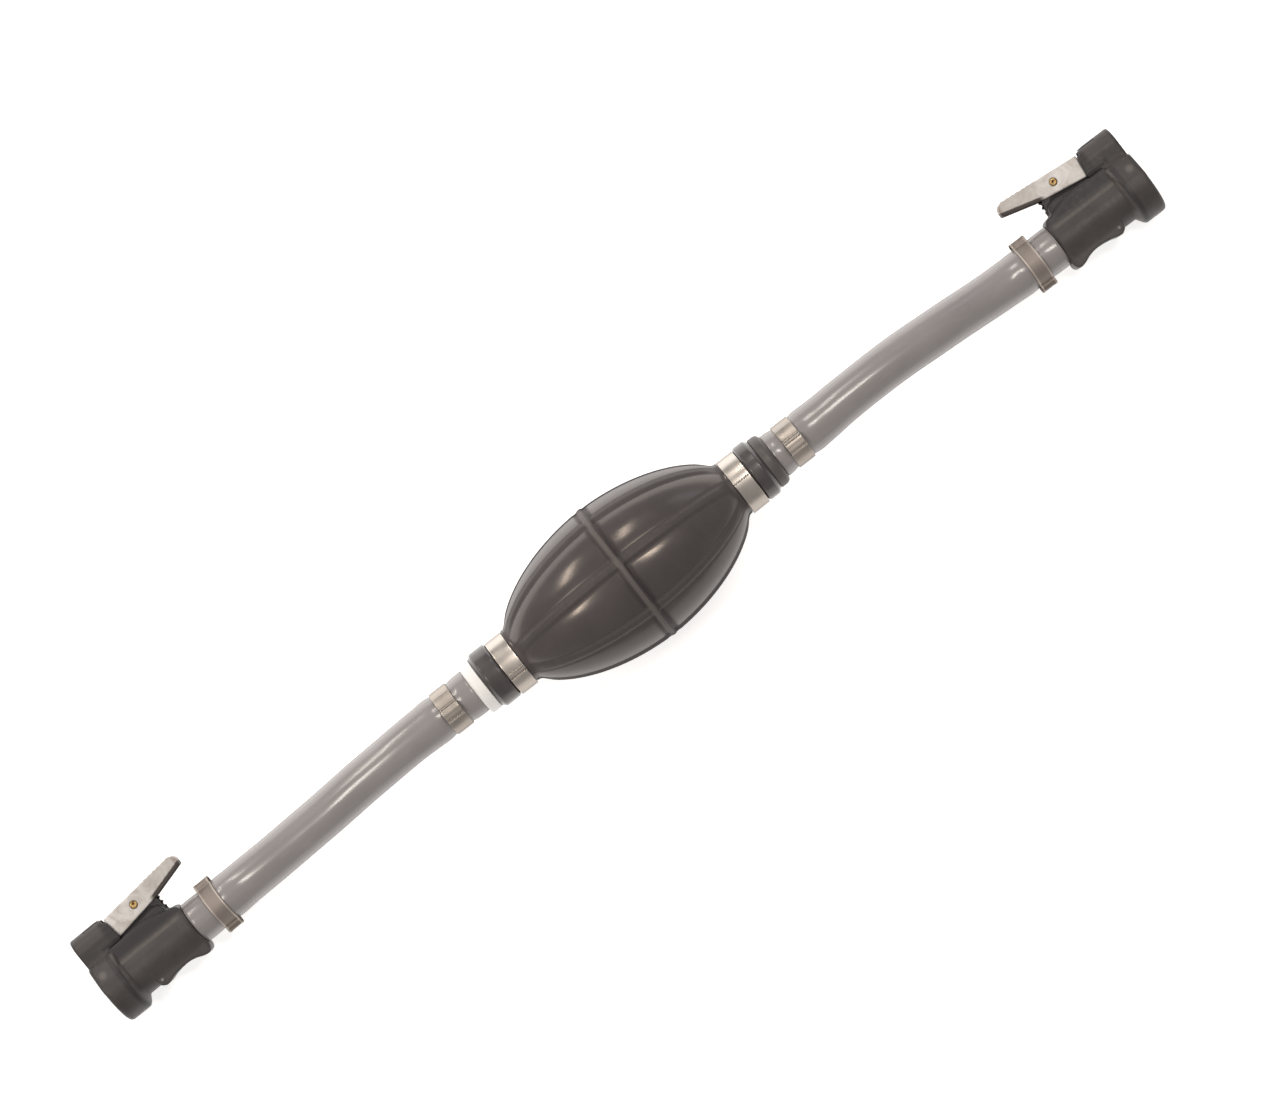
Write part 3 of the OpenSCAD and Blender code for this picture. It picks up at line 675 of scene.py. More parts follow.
def brass_material():
    m = Mat("pin_brass", (0.52, 0.34, 0.11), rough=0.38, metal=1.0)
    big = m.noise(900, 4, 0.6)
    c = m.mix(m.ramp(big, 0.35, 0.65), (0.20, 0.115, 0.045), (0.54, 0.385, 0.175))
    # painted shade: dark spot in the hollow of the pin's end, a little off its centre
    du = m.math("SUBTRACT", m.axis(0), 0.0127)
    dv = m.math("SUBTRACT", m.axis(1), 0.0197)
    far = m.math("SQRT", m.math("ADD", m.math("MULTIPLY", du, du), m.math("MULTIPLY", dv, dv)))
    far = m.math("ADD", far, m.math("MULTIPLY", m.noise(1500, 3, 0.6), 0.0006))
    c = m.mix(m.soft(far, 0.0005, 0.0008, 0.85, 0), c, (0.075, 0.042, 0.020))
    m.color(c)
    m.rough(m.ramp(big, 0.3, 0.7, 0.28, 0.5))
    m.bump(m.noise(2600, 3, 0.6), 0.00004, 0.5)
    return m.m


def simple_material(name, a, b, rough=(0.35, 0.5), metal=0.0, per_m=400.0, bump=0.00003):
    m = Mat(name, a, rough=rough[0], metal=metal)
    n = m.noise(per_m, 4, 0.6)
    m.color(m.mix(m.ramp(n, 0.3, 0.7), a, b))
    m.rough(m.ramp(n, 0.3, 0.7, *rough))
    m.bump(m.noise(per_m * 5, 3, 0.6), bump, 0.5)
    return m.m


RUBBER = rubber_material()
NECK = neck_material()
HOSE = hose_material()
STEEL = steel_material()
EAR_STEEL = steel_material("clamp_steel_ear", (0.46, 0.415, 0.37), (0.32, 0.44))
DULL_STEEL = steel_material("clamp_steel_dull", (0.345, 0.302, 0.275), (0.56, 0.68))
BLACK = black_nylon_material()
WHITE = white_nylon_material()
COUPLER = coupler_material()
COUPLER_FRONT = coupler_material("coupler_plastic_front", True)
LEVER = lever_material()
BRASS = brass_material()
DARK_SPRING = simple_material("dark_spring", (0.030, 0.027, 0.025), (0.07, 0.062, 0.055), (0.35, 0.5), 0.6, 900)
SPRING = simple_material("spring_steel", (0.60, 0.60, 0.60), (0.72, 0.71, 0.70), (0.2, 0.35), 1.0, 900)
SEAL = simple_material("seal_rubber", (0.018, 0.018, 0.018), (0.03, 0.03, 0.03), (0.4, 0.55), 0.0, 700)
ACETAL = simple_material("valve_acetal", (0.66, 0.63, 0.55), (0.74, 0.72, 0.65), (0.35, 0.5), 0.0, 300)
ELASTOMER = simple_material("valve_elastomer", (0.42, 0.16, 0.06), (0.52, 0.22, 0.09), (0.45, 0.6), 0.0, 500)

# ------------------------------------------------------------------ hoses
OUT_ROUTE = [(88, 0.2, 0), (100, 0.7, 0.035), (115, 0.9, 0.13), (130, 0.4, 0.28), (145, -0.6, 0.50), (160, -1.7, 0.79), (175.7, -2.65, 1)]
IN_ROUTE = [(-90, 0, 0), (-103, -0.2, 0.06), (-118, -0.8, 0.19), (-134, -1.7, 0.37), (-150, -2.5, 0.6), (-166, -3.1, 0.84), (-181.7, -3.6, 1)]
OUT_BACK = np.array([195.7, -3.0, CAP_R - BULB_R])
IN_BACK = np.array([-201.7, -4.15, CAP_R - BULB_R])


def hose_line(start, route, back, direction, step=1.1):
    mid = [np.array([p[0], p[1], p[2] * back[2]]) for p in route]
    first = np.array([start, 0, 0.0])
    ends = [first, *mid, back]
    pts = [first, first + (mid[0] - first) * 0.33, first + (mid[0] - first) * 0.66]
    for i in range(1, len(mid)):
        a, b, c, d = ends[i - 1], ends[i], ends[i + 1], ends[i + 2]
        for t in np.arange(0, 1, 0.1):
            pts.append(0.5 * (2 * b + (c - a) * t + (2 * a - 5 * b + 4 * c - d) * t * t + (3 * b - a - 3 * c + d) * t ** 3))
    for u in (-19.5, -16.5, -13, -9, -4.5, 0.5):
        pts.append(back + u * direction)
    P = np.array(pts)
    L = np.concatenate([[0], np.cumsum(np.linalg.norm(np.diff(P, axis=0), axis=1))])
    n = int(round(L[-1] / step))
    s = np.linspace(0, L[-1], n + 1)
    Q = np.stack([np.interp(s, L, P[:, k]) for k in range(3)], 1)
    for _ in range(6):
        Q[1:-1] = 0.5 * Q[1:-1] + 0.25 * (Q[:-2] + Q[2:])
    return Q, L[-1]


def hose(name, start, route, back, yaw, clamp_at, other_clamp, turn):
    a = math.radians(yaw)
    sign = 1 if back[0] > 0 else -1
    direction = sign * np.array([math.cos(a), math.sin(a), 0.0])
    Q, length = hose_line(start, route, back, direction)
    s = np.linspace(0, length, len(Q))
    end = length - s
    c0, c1 = clamp_at
    e0, e1 = other_clamp
    knots = [(0, 8.72), (0.6, 8.8), (c0 - 2.4, 8.72), (c0 - 1.2, 8.56), (c0 - 0.2, 8.22), (c0 + 0.4, 8.18), (c1 - 0.4, 8.18), (c1 + 0.2, 8.22),
             (c1 + 1.3, 8.56), (c1 + 3.6, 8.74), (c1 + 8, 8.52), (c1 + 16, 8.32), (c1 + 26, 8.26),
             (length - e1 - 22, 8.26), (length - e1 - 9, 8.34), (length - e1 - 3.2, 8.52), (length - e1 - 1.2, 8.46), (length - e1 - 0.2, 8.22), (length - e1 + 0.4, 8.18),
             (length - e0 - 0.4, 8.18), (length - e0 + 0.2, 8.22), (length - e0 + 1.4, 8.38), (length - e0 + 4, 8.40), (length - 0.5, 8.33), (length, 8.25)]
    ks, kr = zip(*knots)
    fine = np.linspace(0, length, 1200)
    rr = np.interp(fine, ks, kr)
    k = np.exp(-0.5 * (np.arange(-9, 10) / 3.5) ** 2)
    rr = np.convolve(np.pad(rr, 9, mode="edge"), k / k.sum(), "valid")
    R = np.interp(s, fine, rr)
    n = 72
    ang = np.arange(n) * 2 * math.pi / n
    T = np.gradient(Q, axis=0)
    T /= np.linalg.norm(T, axis=1)[:, None]
    S = np.cross([0, 0, 1.0], T)
    S /= np.linalg.norm(S, axis=1)[:, None]
    Up = np.cross(T, S)
    # a soft hose is never quite round or straight
    wob = 0.05 * np.sin(s[:, None] / 9.0 + turn) * np.cos(2 * ang[None, :] + 0.7 * turn) \
        + 0.035 * np.sin(s[:, None] / 4.3 + 2 * turn + ang[None, :]) + 0.03 * np.cos(s[:, None] / 14.0 - 3 * ang[None, :])
    free = smooth01((s - c1 - 2) / 8) * smooth01((end - e1 - 2) / 8)
    Ro = R[:, None] + wob * free[:, None]
    Ri = np.full_like(Ro, 4.75)
    Ri[(s < 22) | (end < 20)] = 5.2

    def rings(rad, q=slice(None)):
        return Q[q][:, None, :] + rad[q][..., None] * (np.cos(ang)[None, :, None] * S[q][:, None, :] + np.sin(ang)[None, :, None] * Up[q][:, None, :])

    outer, inner = rings(Ro), rings(Ri)
    m = len(Q)
    lip0 = Q[0][None, None, :] + (outer[:1] - Q[0]) * 0.985
    lip1 = Q[-1][None, None, :] + (outer[-1:] - Q[-1]) * 0.985
    outer[0] += T[0] * 0.12
    outer[-1] -= T[-1] * 0.12
    allr = np.concatenate([inner[:1], lip0, outer, lip1, inner[::-1]])
    V = allr.reshape(-1, 3)
    N = len(allr)
    I, J = np.meshgrid(np.arange(N), np.arange(n), indexing="ij")
    I2, J2 = (I + 1) % N, (J + 1) % n
    keep = np.arange(N) != N - 1
    quads = np.stack([I * n + J, I * n + J2, I2 * n + J2, I2 * n + J], -1)[keep].reshape(-1, 4)
    # the last ring is the first one again
    last, first = (N - 1) * n, 0
    quads = np.where(quads >= last, quads - last + first, quads)
    V = V[:last]
    me = mesh_data(name, V, [quads], sharp=50)
    ob = piece(name, me, HOSE, AT_BULB, replaces=[name.replace("_tube", "")])
    return ob


hose("outlet_hose_tube", 67.4, OUT_ROUTE, OUT_BACK, -0.9, (5.0, 12.2), (7.5, 13.7), 0.4)
hose("inlet_hose_tube", -69.2, IN_ROUTE, IN_BACK, 1.4, (7.2, 14.4), (7.5, 13.7), 2.1)


# ------------------------------------------------------------------ bulb
HALF = 48.8
RIBS = [math.radians(81.4 - 45 * k) for k in range(8)]  # measured from +Y towards +Z


def swell(x):
    return BULB_R * np.sqrt(np.maximum(0.001, 1 - (np.abs(x) / 52.3) ** 1.9))


def bulb_outer(x, phi):
    """Outer radius at x and angle phi, measured from +Y towards +Z."""
    R = swell(x)
    X = np.abs(x)
    # angle from the nearest rib, -22.5..22.5 degrees
    q = (phi - RIBS[0] + math.pi / 8) % (math.pi / 4) - math.pi / 8
    lobe_u = np.abs(q) / (math.pi / 8)            # 0 at a rib, 1 in the middle of a lobe
    sag = (0.012 * R + 0.12) * (1 - lobe_u) ** 2
    lobe = R - 0.42 - sag
    d = np.abs(R * np.sin(q))
    flank = 1 - smooth01((d - 0.75) / 1.75)
    rib_top = R - 0.03 - 0.07 * np.minimum(d, 2.2) ** 2
    fade = smooth01((48.2 - X) / 5.0)
    r = lobe + (rib_top - lobe) * flank * fade
    # thin step beside every rib, where the halves of the mould's slides met
    r = r - 0.07 * np.exp(-((d - 2.5) / 0.4) ** 2) * fade
    # bead round the middle, with a shallow recess on each side
    bead = 1 - smooth01((X - 0.85) / 0.75)
    top = BULB_R - 0.02 - 0.16 * np.minimum(X, 2.0) ** 2
    r = r - 0.11 * np.exp(-((X - 2.1) / 0.6) ** 2)
    return r + (top - r) * bead


def bulb_shell():
    t = np.linspace(-1, 1, 341)
    x = 49.1 * np.sin(t * math.pi / 2 * 0.985) / math.sin(math.pi / 2 * 0.985)
    fine = np.linspace(-3.6, 3.6, 41)
    x = np.sort(np.concatenate([x[np.abs(x) > 3.75], fine]))
    n = 576
    phi = np.arange(n) * 2 * math.pi / n
    R = bulb_outer(x[:, None], phi[None, :])
    R = 0.5 * (R + 11.0 + np.sqrt((R - 11.0) ** 2 + 0.6)) - 0.3 / np.maximum(R, 11.0)
    xi = np.linspace(-47.2, 47.2, 60)
    ri = np.maximum(swell(xi) - 3.5, 8.5)
    n2 = n
    outer = np.stack([np.repeat(x, n), (R * np.cos(phi)).ravel(), (R * np.sin(phi)).ravel()], 1)
    inner = np.stack([np.repeat(xi[::-1], n2), np.outer(ri[::-1], np.cos(phi)).ravel(), np.outer(ri[::-1], np.sin(phi)).ravel()], 1)
    V = np.concatenate([outer, inner])
    N = len(x) + len(xi)
    I, J = np.meshgrid(np.arange(N), np.arange(n), indexing="ij")
    I2, J2 = (I + 1) % N, (J + 1) % n
    return V, [np.stack([I * n + J, I2 * n + J, I2 * n + J2, I * n + J2], -1).reshape(-1, 4)]


V, F = bulb_shell()
bulb_ob = piece("bulb_shell", mesh_data("bulb_shell", V, F, sharp=60), RUBBER, AT_BULB, replaces=["bulb"])


def neck(end):
    """Sleeve under the band clamp and the rounded bead at its end, drawn for +X."""
    pts = [(42, 8.36), (42, 10.2), (42.6, 10.3), (49.0, 10.3), (56.6, 10.3), (56.75, 11.0), (57.4, 11.6), (end - 1.0, 11.65), (end - 0.1, 10.7), (end + 0.5, 10.3), (end + 0.5, 8.36)]
    rad = [0, 0.1, 0.2, 0, 0.1, 0.2, 0.7, 1.2, 0.3, 0.1, 0.1]
    return lathe(rounded(pts, rad, 7), 144)


piece("outlet_neck", mesh_data("outlet_neck", *neck(62.4)), NECK, AT_BULB)
piece("inlet_neck", mesh_data("inlet_neck", *neck(64.2)), NECK, AT_BULB_BACK)


# ------------------------------------------------------------------ valve fittings
def fitting(f, soft):
    pts = [(45, 7.4), (45.8, 7.9), (50.6, 7.9), (51.4, 8.25), (52.6, 7.9), (54.1, 7.9), (54.9, 8.25), (56.1, 7.9), (f, 7.9),
           (f, 10.58), (f + 4.4, 10.58), (f + 4.4, 5.0)]
    rad = [0.1, 0.4, 0.2, 0.2, 0.2, 0.2, 0.2, 0.2, 0.1, 0.3, soft, 0.2]
    for i in range(5):
        s = f + 4.4 + 4 * i
        pts += [(s + 0.3 + 0.01, 5.0), (s + 4, 4.5)]
        rad += [0.05, 0.05]
    pts += [(f + 24.4, 3.2), (59, 3.2), (59, 5.6), (45, 5.6)]
    rad += [0.1, 0.2, 0.1, 0.2]
    return lathe(rounded(pts, rad, 5), 144)


piece("outlet_fitting_flange", mesh_data("outlet_fitting_flange", *fitting(63.0, 2.1), sharp=50), BLACK, AT_BULB, replaces=["outlet_valve_fitting"])
piece("inlet_fitting_flange", mesh_data("inlet_fitting_flange", *fitting(64.8, 1.35), sharp=50), WHITE, AT_BULB_BACK, replaces=["inlet_valve_fitting"])


# ------------------------------------------------------------------ clamps
def strip_section(width, t, r=0.22, crown=0.0):
    """Rounded rectangle: first coordinate along the strip's width, second outwards from its inner face."""
    pts = [(-width / 2, 0), (width / 2, 0), (width / 2, t), (-width / 2, t)]
    S = rounded(pts, r, 4)
    extra = []
    for i in range(len(S)):
        a, b = S[i], S[(i + 1) % len(S)]
        extra.append(a)
        if np.linalg.norm(b - a) > 1.0:
            for k in range(1, 12):
                extra.append(a + (b - a) * k / 12)
    S = np.array(extra)
    top = S[:, 1] > t * 0.5
    S[top, 1] += crown * (1 - (S[top, 0] / (width / 2)) ** 2)
    return S


def ring_along(path, normals, section, x0, closed, scale=None):
    """path and normals in the (y, z) plane; section[:, 0] runs along x, section[:, 1] along the normal."""
    P, N = np.asarray(path, float), np.asarray(normals, float)
    n, m = len(P), len(section)
    R = np.zeros((n, m, 3))
    sx = np.ones(n) if scale is None else scale[0]
    sn = np.ones(n) if scale is None else scale[1]
    R[:, :, 0] = x0 + section[None, :, 0] * sx[:, None]
    R[:, :, 1] = P[:, :1] + N[:, :1] * section[None, :, 1] * sn[:, None]
    R[:, :, 2] = P[:, 1:] + N[:, 1:] * section[None, :, 1] * sn[:, None]
    return loft(R, closed)


def arc_pts(r, a0, a1, step=2.0):
    n = max(2, int(abs(a1 - a0) / step))
    a = np.radians(np.linspace(a0, a1, n + 1))
    return np.stack([r * np.cos(a), r * np.sin(a)], 1), np.stack([np.cos(a), np.sin(a)], 1)


def knurl(x0, x1, r, depth, pitch, y, z, tilt=0.0):
    """A rolled ridge across a strip, with a row of small beads."""
    n = int((x1 - x0) / 0.07)
    xs = np.linspace(x0, x1, n)
    rr = r + depth * np.cos((xs - x0) / pitch * 2 * math.pi)
    endf = np.sqrt(np.clip(1 - (np.maximum(0, np.maximum(x0 + r - xs, xs - (x1 - r))) / r) ** 2, 0.02, 1))
    rr = rr * endf
    a = np.arange(20) * 2 * math.pi / 20
    R = np.zeros((n, 20, 3))
    R[:, :, 0] = xs[:, None]
    R[:, :, 1] = y + (xs - (x0 + x1) / 2)[:, None] * tilt + rr[:, None] * np.cos(a)
    R[:, :, 2] = z + rr[:, None] * np.sin(a)
    return loft(R)


def band_clamp(turn, ridges):
    """Drawn from x = 49.3 to 56.5; turn in degrees moves the seam from the top towards -Y."""
    x0, w, t = 52.9, 7.2, 0.68
    sec = strip_section(w, t, 0.24, 0.05)
    P, N = arc_pts(10.33, 0, 360)
    parts = [ring_along(P[:-1], N[:-1], sec, x0, True)]
    # outer layer, from the ridge round the far side, thinning at its start
    a0, a1 = 90 + turn - 1.5, 90 + turn + 168
    P, N = arc_pts(10.33 + t + 0.03, a0, a1)
    k = np.linspace(0, 1, len(P))
    thin = 0.10 + 0.90 * smooth01((1 - k) / 0.10)
    parts.append(ring_along(P, N, strip_section(w - 0.15, t, 0.24, 0.04), x0, False, (np.ones(len(P)), thin)))
    for da, lift, r in ridges:
        a = math.radians(90 + turn + da)
        rad = 10.33 + t + lift
        parts.append(knurl(x0 - w / 2 + 0.05, x0 + w / 2 - 0.05, r, 0.15, 0.90, rad * math.cos(a), rad * math.sin(a)))
    return joined(parts)


V, F = band_clamp(-1, [(-2.5, 0.42, 0.42)])
piece("outlet_band_clamp", mesh_data("outlet_band_clamp", V, F, sharp=50), STEEL, AT_BULB, replaces=["outlet_bulb_clamp"])


def shifted(V, dx):
    V = np.array(V, float)
    V[:, 0] += dx
    return V


V, F = band_clamp(30, [(-1.5, 0.42, 0.40), (-13.0, 0.30, 0.36)])
piece("inlet_band_clamp", mesh_data("inlet_band_clamp", shifted(V, -105.8), F, sharp=50), STEEL, AT_BULB, replaces=["inlet_bulb_clamp"])


def smooth_path(P, rounds, closed=True):
    P = np.array(P, float)
    for _ in range(rounds):
        if closed:
            P = 0.5 * P + 0.25 * (np.roll(P, 1, 0) + np.roll(P, -1, 0))
        else:
            P[1:-1] = 0.5 * P[1:-1] + 0.25 * (P[:-2] + P[2:])
    return P


def resampled(P, step, closed=True):
    P = np.array(P, float)
    if closed:
        P = np.concatenate([P, P[:1]])
    L = np.concatenate([[0], np.cumsum(np.linalg.norm(np.diff(P, axis=0), axis=1))])
    n = int(L[-1] / step)
    s = np.linspace(0, L[-1], n + 1)
    Q = np.stack([np.interp(s, L, P[:, k]) for k in range(P.shape[1])], 1)
    return Q[:-1] if closed else Q


def normals_of(P, closed=True):
    T = (np.roll(P, -1, 0) - np.roll(P, 1, 0)) if closed else np.gradient(P, axis=0)
    T /= np.linalg.norm(T, axis=1)[:, None]
    return np.stack([T[:, 1], -T[:, 0]], 1)


def eared_path(r, ears, half, height):
    """Inner line of a strip with raised ears at the given angles, anticlockwise."""
    pts = []
    a = 0.0
    foot = math.degrees(math.asin((half + 0.25) / r))
    while a < 360:
        near = [e for e in ears if abs((a - e + 180) % 360 - 180) < foot]
        if not near:
            pts.append((r * math.cos(math.radians(a)), r * math.sin(math.radians(a))))
            a += 1.0
            continue
        e = near[0]
        ca, sa = math.cos(math.radians(e)), math.sin(math.radians(e))
        base = math.sqrt(r * r - half * half)
        for across, up in [(-half + 0.10, base + 0.4), (-half + 0.05, r + height * 0.45), (-half + 0.25, r + height - 0.45), (-half + 0.75, r + height - 0.1),
                           (-0.25 * half, r + height - 0.02), (0, r + height - 0.08), (0.25 * half, r + height - 0.02),
                           (half - 0.75, r + height - 0.1), (half - 0.25, r + height - 0.45), (half - 0.05, r + height * 0.45), (half - 0.10, base + 0.4)]:
            # across grows with the angle
            pts.append((up * ca - across * sa, up * sa + across * ca))
        a = e + foot + 0.3 if e + foot + 0.3 > a else a + 1.0
    return resampled(pts, 0.22)


def ear_clamp(x0, w, turn, half, height, ridge):
    r = 8.27
    t = 0.66
    P = smooth_path(eared_path(r, [90 + turn], half, height - t), 3)
    N = normals_of(P)
    parts = [ring_along(P, N, strip_section(w, t, 0.24, 0.03), x0, True)]
    # overlapped end of the strip next to the ear
    A, B = arc_pts(r + t + 0.02, 90 + turn - 58, 90 + turn - math.degrees((half + 1.1) / r), 2)
    k = np.linspace(0, 1, len(A))
    parts.append(ring_along(A, B, strip_section(w - 0.1, 0.42, 0.18), x0, False, (np.ones(len(A)), 0.15 + 0.85 * smooth01(k / 0.15))))
    for side, lift in ridge:
        a = math.radians(90 + turn)
        y, z = side * (half - 0.12), r + height - 0.34 + lift
        parts.append(knurl(x0 - w / 2 + 0.1, x0 + w / 2 - 0.1, 0.40, 0.13, 0.85, z * math.cos(a) + y * math.sin(a), z * math.sin(a) - y * math.cos(a)))
    return joined(parts)


V, F = ear_clamp(76, 7.2, 7, 2.2, 2.35, [(1, 0), (-1, 0)])
piece("outlet_one_ear_clamp", mesh_data("outlet_one_ear_clamp", V, F, sharp=50), EAR_STEEL, AT_BULB, replaces=["outlet_ear_clamp"])
V, F = ear_clamp(-80, 7.2, 8, 2.2, 2.35, [(-1, 0)])
piece("inlet_one_ear_clamp", mesh_data("inlet_one_ear_clamp", V, F, sharp=50), EAR_STEEL, AT_BULB, replaces=["inlet_ear_clamp"])


def two_ear_clamp():
    r, t, w = 8.27, 0.66, 6.2
    P = smooth_path(eared_path(r, [0, 180], 3.1, 1.8), 3)
    N = normals_of(P)
    sec = strip_section(w, t, 0.26)
    # rolled lips along both edges
    lip = np.abs(sec[:, 0]) > w / 2 - 0.75
    sec[lip & (sec[:, 1] > 0.3), 1] += 0.10
    return ring_along(P, N, sec, -10.6, True)


two_me = mesh_data("two_ear_clamp", *two_ear_clamp(), sharp=50)
for end, at in ENDS:
    piece(f"{end}_two_ear_clamp", two_me, DULL_STEEL, at, replaces=[f"{end}_coupler_clamp"])

# ------------------------------------------------------------------ couplers
BODY_VIEW = [(0.6, -7.4), (0.1, -8.6), (0.1, -9.6), (0.7, -10.8), (1.5, -11.4), (2.6, -11.6), (4.4, -11.2), (7, -10.1), (9.3, -9.55), (11.7, -9.4),
             (14.5, -9.6), (17.5, -10.1), (20, -10.9), (21.4, -11), (22.4, -10.5), (23.2, -9.9), (24.5, -9.7), (34, -9.7),
             (34, 13.1), (22.6, 13.1), (18, 13.2), (13, 12.9), (8, 11.7), (4.4, 10.6), (2.6, 10.3), (1.6, 9.9), (0.9, 9.2), (0.6, 8.2)]
FIN = [(8.7, 9.5), (8.7, 16.8), (9.8, 20.6), (11.4, 21.4), (14.2, 21.4), (16.8, 20.1), (21.6, 16.6), (23.4, 15), (23.6, 12.5), (22, 9.5)]
SHOULDER = [(5.0, 9.5), (5.0, 11.8), (6.3, 13.9), (8.9, 14.3), (14, 13.7), (20, 13.0), (23.4, 12.5), (23.6, 9.5)]
CHEEK = [(4.4, 9.5), (4.3, 11.5), (4.8, 12.5), (4.9, 14.9), (4.9, 15.6), (5.8, 17.2), (9.2, 18), (9.2, 9.5)]


def coupler_body():
    g = Grid((-1.0, -12.6, -10.6), (31.6, 23.0, 10.6), 0.24)
    view = g.side(BODY_VIEW)
    barrel = g.turned([(0.6, 0), (0.6, 7.2), (0.8, 8.4), (1.4, 9.2), (2.4, 9.6), (34, 9.6), (34, 0)])
    block = g.plan([(0, -5.2), (0.3, -6.3), (0.9, -7.1), (1.8, -7.5), (34, -7.5), (34, 7.5), (1.8, 7.5), (0.9, 7.1), (0.3, 6.3), (0, 5.2)])
    block = np.broadcast_to(block, g.shape)
    block = rmax(block, np.broadcast_to(view, g.shape), 0.7)
    block = np.maximum(block, -12 + 9 * smooth01((g.U - 22.5) / 2.5) - g.V + 0 * g.W)
    body = smin(barrel, block, 1.4)
    high = smooth01((g.V - 8.0) / 2.0)
    body = rmax(body, view, 0.35) * (1 - high) + rmax(body, view, 1.7) * high
    body = rmax(body, g.U - 30.6 + 0 * g.V + 0 * g.W, 0.35)
    fin = rmax(np.broadcast_to(g.side(FIN), g.shape), np.abs(g.W) - 2.6 + 0 * g.U, 0.5)
    shoulder = rmax(np.broadcast_to(g.side(SHOULDER), g.shape), np.abs(g.W) - 5.2 + 0 * g.U, 1.2)
    body = smin(body, shoulder, 1.6)
    body = smin(body, fin, 2.4)
    cheeks = rmax(np.broadcast_to(g.side(CHEEK), g.shape), np.abs(np.abs(g.W) - 2.3) - 0.33 + 0 * g.U, 0.1)
    body = smin(body, cheeks, 0.15)
    body = smax(body, -g.rod(-5, 13, 3.0), 0.15)
    body = smax(body, -g.rod(12, 35, 6.4), 0.2)
    pocket = np.maximum(rmax(np.sqrt((g.U - 5.2) ** 2 + g.W ** 2) - 1.85, 9.6 - g.V), g.V - 12.6)
    body = np.maximum(body, -pocket)
    body = np.maximum(body, -(np.sqrt((g.U - PIVOT[0]) ** 2 + (g.V - PIVOT[1]) ** 2) - 1.42 + 0 * g.W))
    body = blurred(body, 0.7)
    for w in (-7.1, 7.1):
        body = smin(body, np.sqrt((g.U - 21.6) ** 2 + (g.V + 8.4) ** 2 + (g.W - w) ** 2) - 0.8, 0.3)
    return surface(body, g)


def coupler_stem():
    pts = [(2.6, 2.98), (2.6, 4.6), (0.0, 4.6), (0.0, 5.0)]
    rad = [0, 0, 0, 0]
    for i in range(5):
        s = -3.6 * i
        pts += [(s - 0.3 if i else -0.1, 5.0), (s - 3.6, 4.5)]
        rad += [0.05, 0.05]
    pts += [(-18, 3.02)]
    rad += [0.1]
    return lathe(rounded(pts, rad, 3), 64)


PLATE = [(28.5, 0), (28.6, 9.0), (29.2, 9.5), (29.8, 10.4), (30.6, 11.7), (31.6, 12.6), (39.2, 12.6), (40.2, 12.2), (40.65, 11.3), (40.65, 0)]
HOOD = [(23.8, 13.6), (24.2, 17), (24.5, 19.7), (24.9, 21.3), (25.7, 22.6), (26.8, 23.5), (28.2, 24.0), (29.5, 25), (40.2, 25), (40.2, 11), (31.6, 11), (31.6, 13.6)]
FOOT = [(24.0, 12.6), (29.65, 12.6), (29.65, 6), (32, 6), (32, 15), (24.2, 15)]
OUTLINE = [(-0.4, 12.8), (3, 12.8), (5.2, 11.7), (7.4, 10.4), (10.2, 8.8), (11.1, 8), (11.6, 6.8), (11.6, -6.8), (11.1, -8), (10.2, -8.8), (7.4, -10.4), (5.2, -11.7), (3, -12.8), (-0.4, -12.8)]


def coupler_cap():
    g = Grid((23.0, -13.6, -13.2), (41.8, 24.4, 13.2), 0.24)
    lower = g.turned(PLATE, -0.4)
    flank = [(29.2, 7.0), (29.9, 8.5), (30.5, 10.3), (31.1, 11.9), (31.7, 12.8), (41.5, 12.8)]
    flat = np.broadcast_to(g.plan([(u, -w) for u, w in flank][::-1] + flank), g.shape)
    outline = smax(np.broadcast_to(g.front(OUTLINE), g.shape) + 0.2, -0.4 - g.V, 0.01)
    edge = g.plan([(28.6, -13), (28.6, 13), (40.65, 13), (40.65, -13)])
    top = rmax(rmax(np.broadcast_to(edge, g.shape), outline, 1.1), flat, 0.6)
    top = np.maximum(top, -0.45 - g.V)
    plate = smin(lower, top, 0.1)
    cap = np.minimum(plate, np.minimum(g.rod(29.6, 31, 8.6), g.rod(25, 31, 6.36)))
    round_top = np.where(g.V > 17.4, np.sqrt((g.V - 17.4) ** 2 + g.W ** 2), np.abs(g.W) + 0 * g.V) - 6.22
    hood = rmax(np.broadcast_to(g.side(HOOD), g.shape), np.broadcast_to(round_top, g.shape), 0.75)
    cap = smin(cap, hood, 0.4 + 1.8 * smooth01((39.0 - g.U) / 2.0))
    foot = rmax(np.broadcast_to(g.side(FOOT), g.shape), np.abs(g.W) - 6.2 + 0 * g.U, 0.3)
    cap = smin(cap, foot, 1.0)
    cap = smax(cap, -g.rod(27, 50, 4.8), 0.35)
    cap = np.maximum(cap, -g.rod(31.5, 33.7, 6.35))
    cap = np.maximum(cap, -g.rod(20, 30, 3.6))
    cap = smax(cap, -g.rod(28.5, 50, 3.0, 17.4), 0.35)
    cap = np.maximum(cap, -g.rod(28.5, 34.4, 3.6, 17.4))
    room = rmax(np.broadcast_to(g.side([(22, 13), (22, 26), (25.3, 26), (25.3, 22.9), (26.2, 22.9), (26.2, 13)]), g.shape), np.abs(g.W) - 4.45 + 0 * g.U, 0.2)
    cap = smax(cap, -room, 0.12)
    nose = rmax(np.broadcast_to(g.side([(25, 19), (25, 22.9), (34.4, 22.9), (34.4, 19)]), g.shape), np.abs(g.W) - 2.5 + 0 * g.U, 0.2)
    cap = np.maximum(cap, -nose)
    return surface(blurred(cap, 0.85), g)


def top_v(u):
    return 25 - (u + 7.8) * 0.085


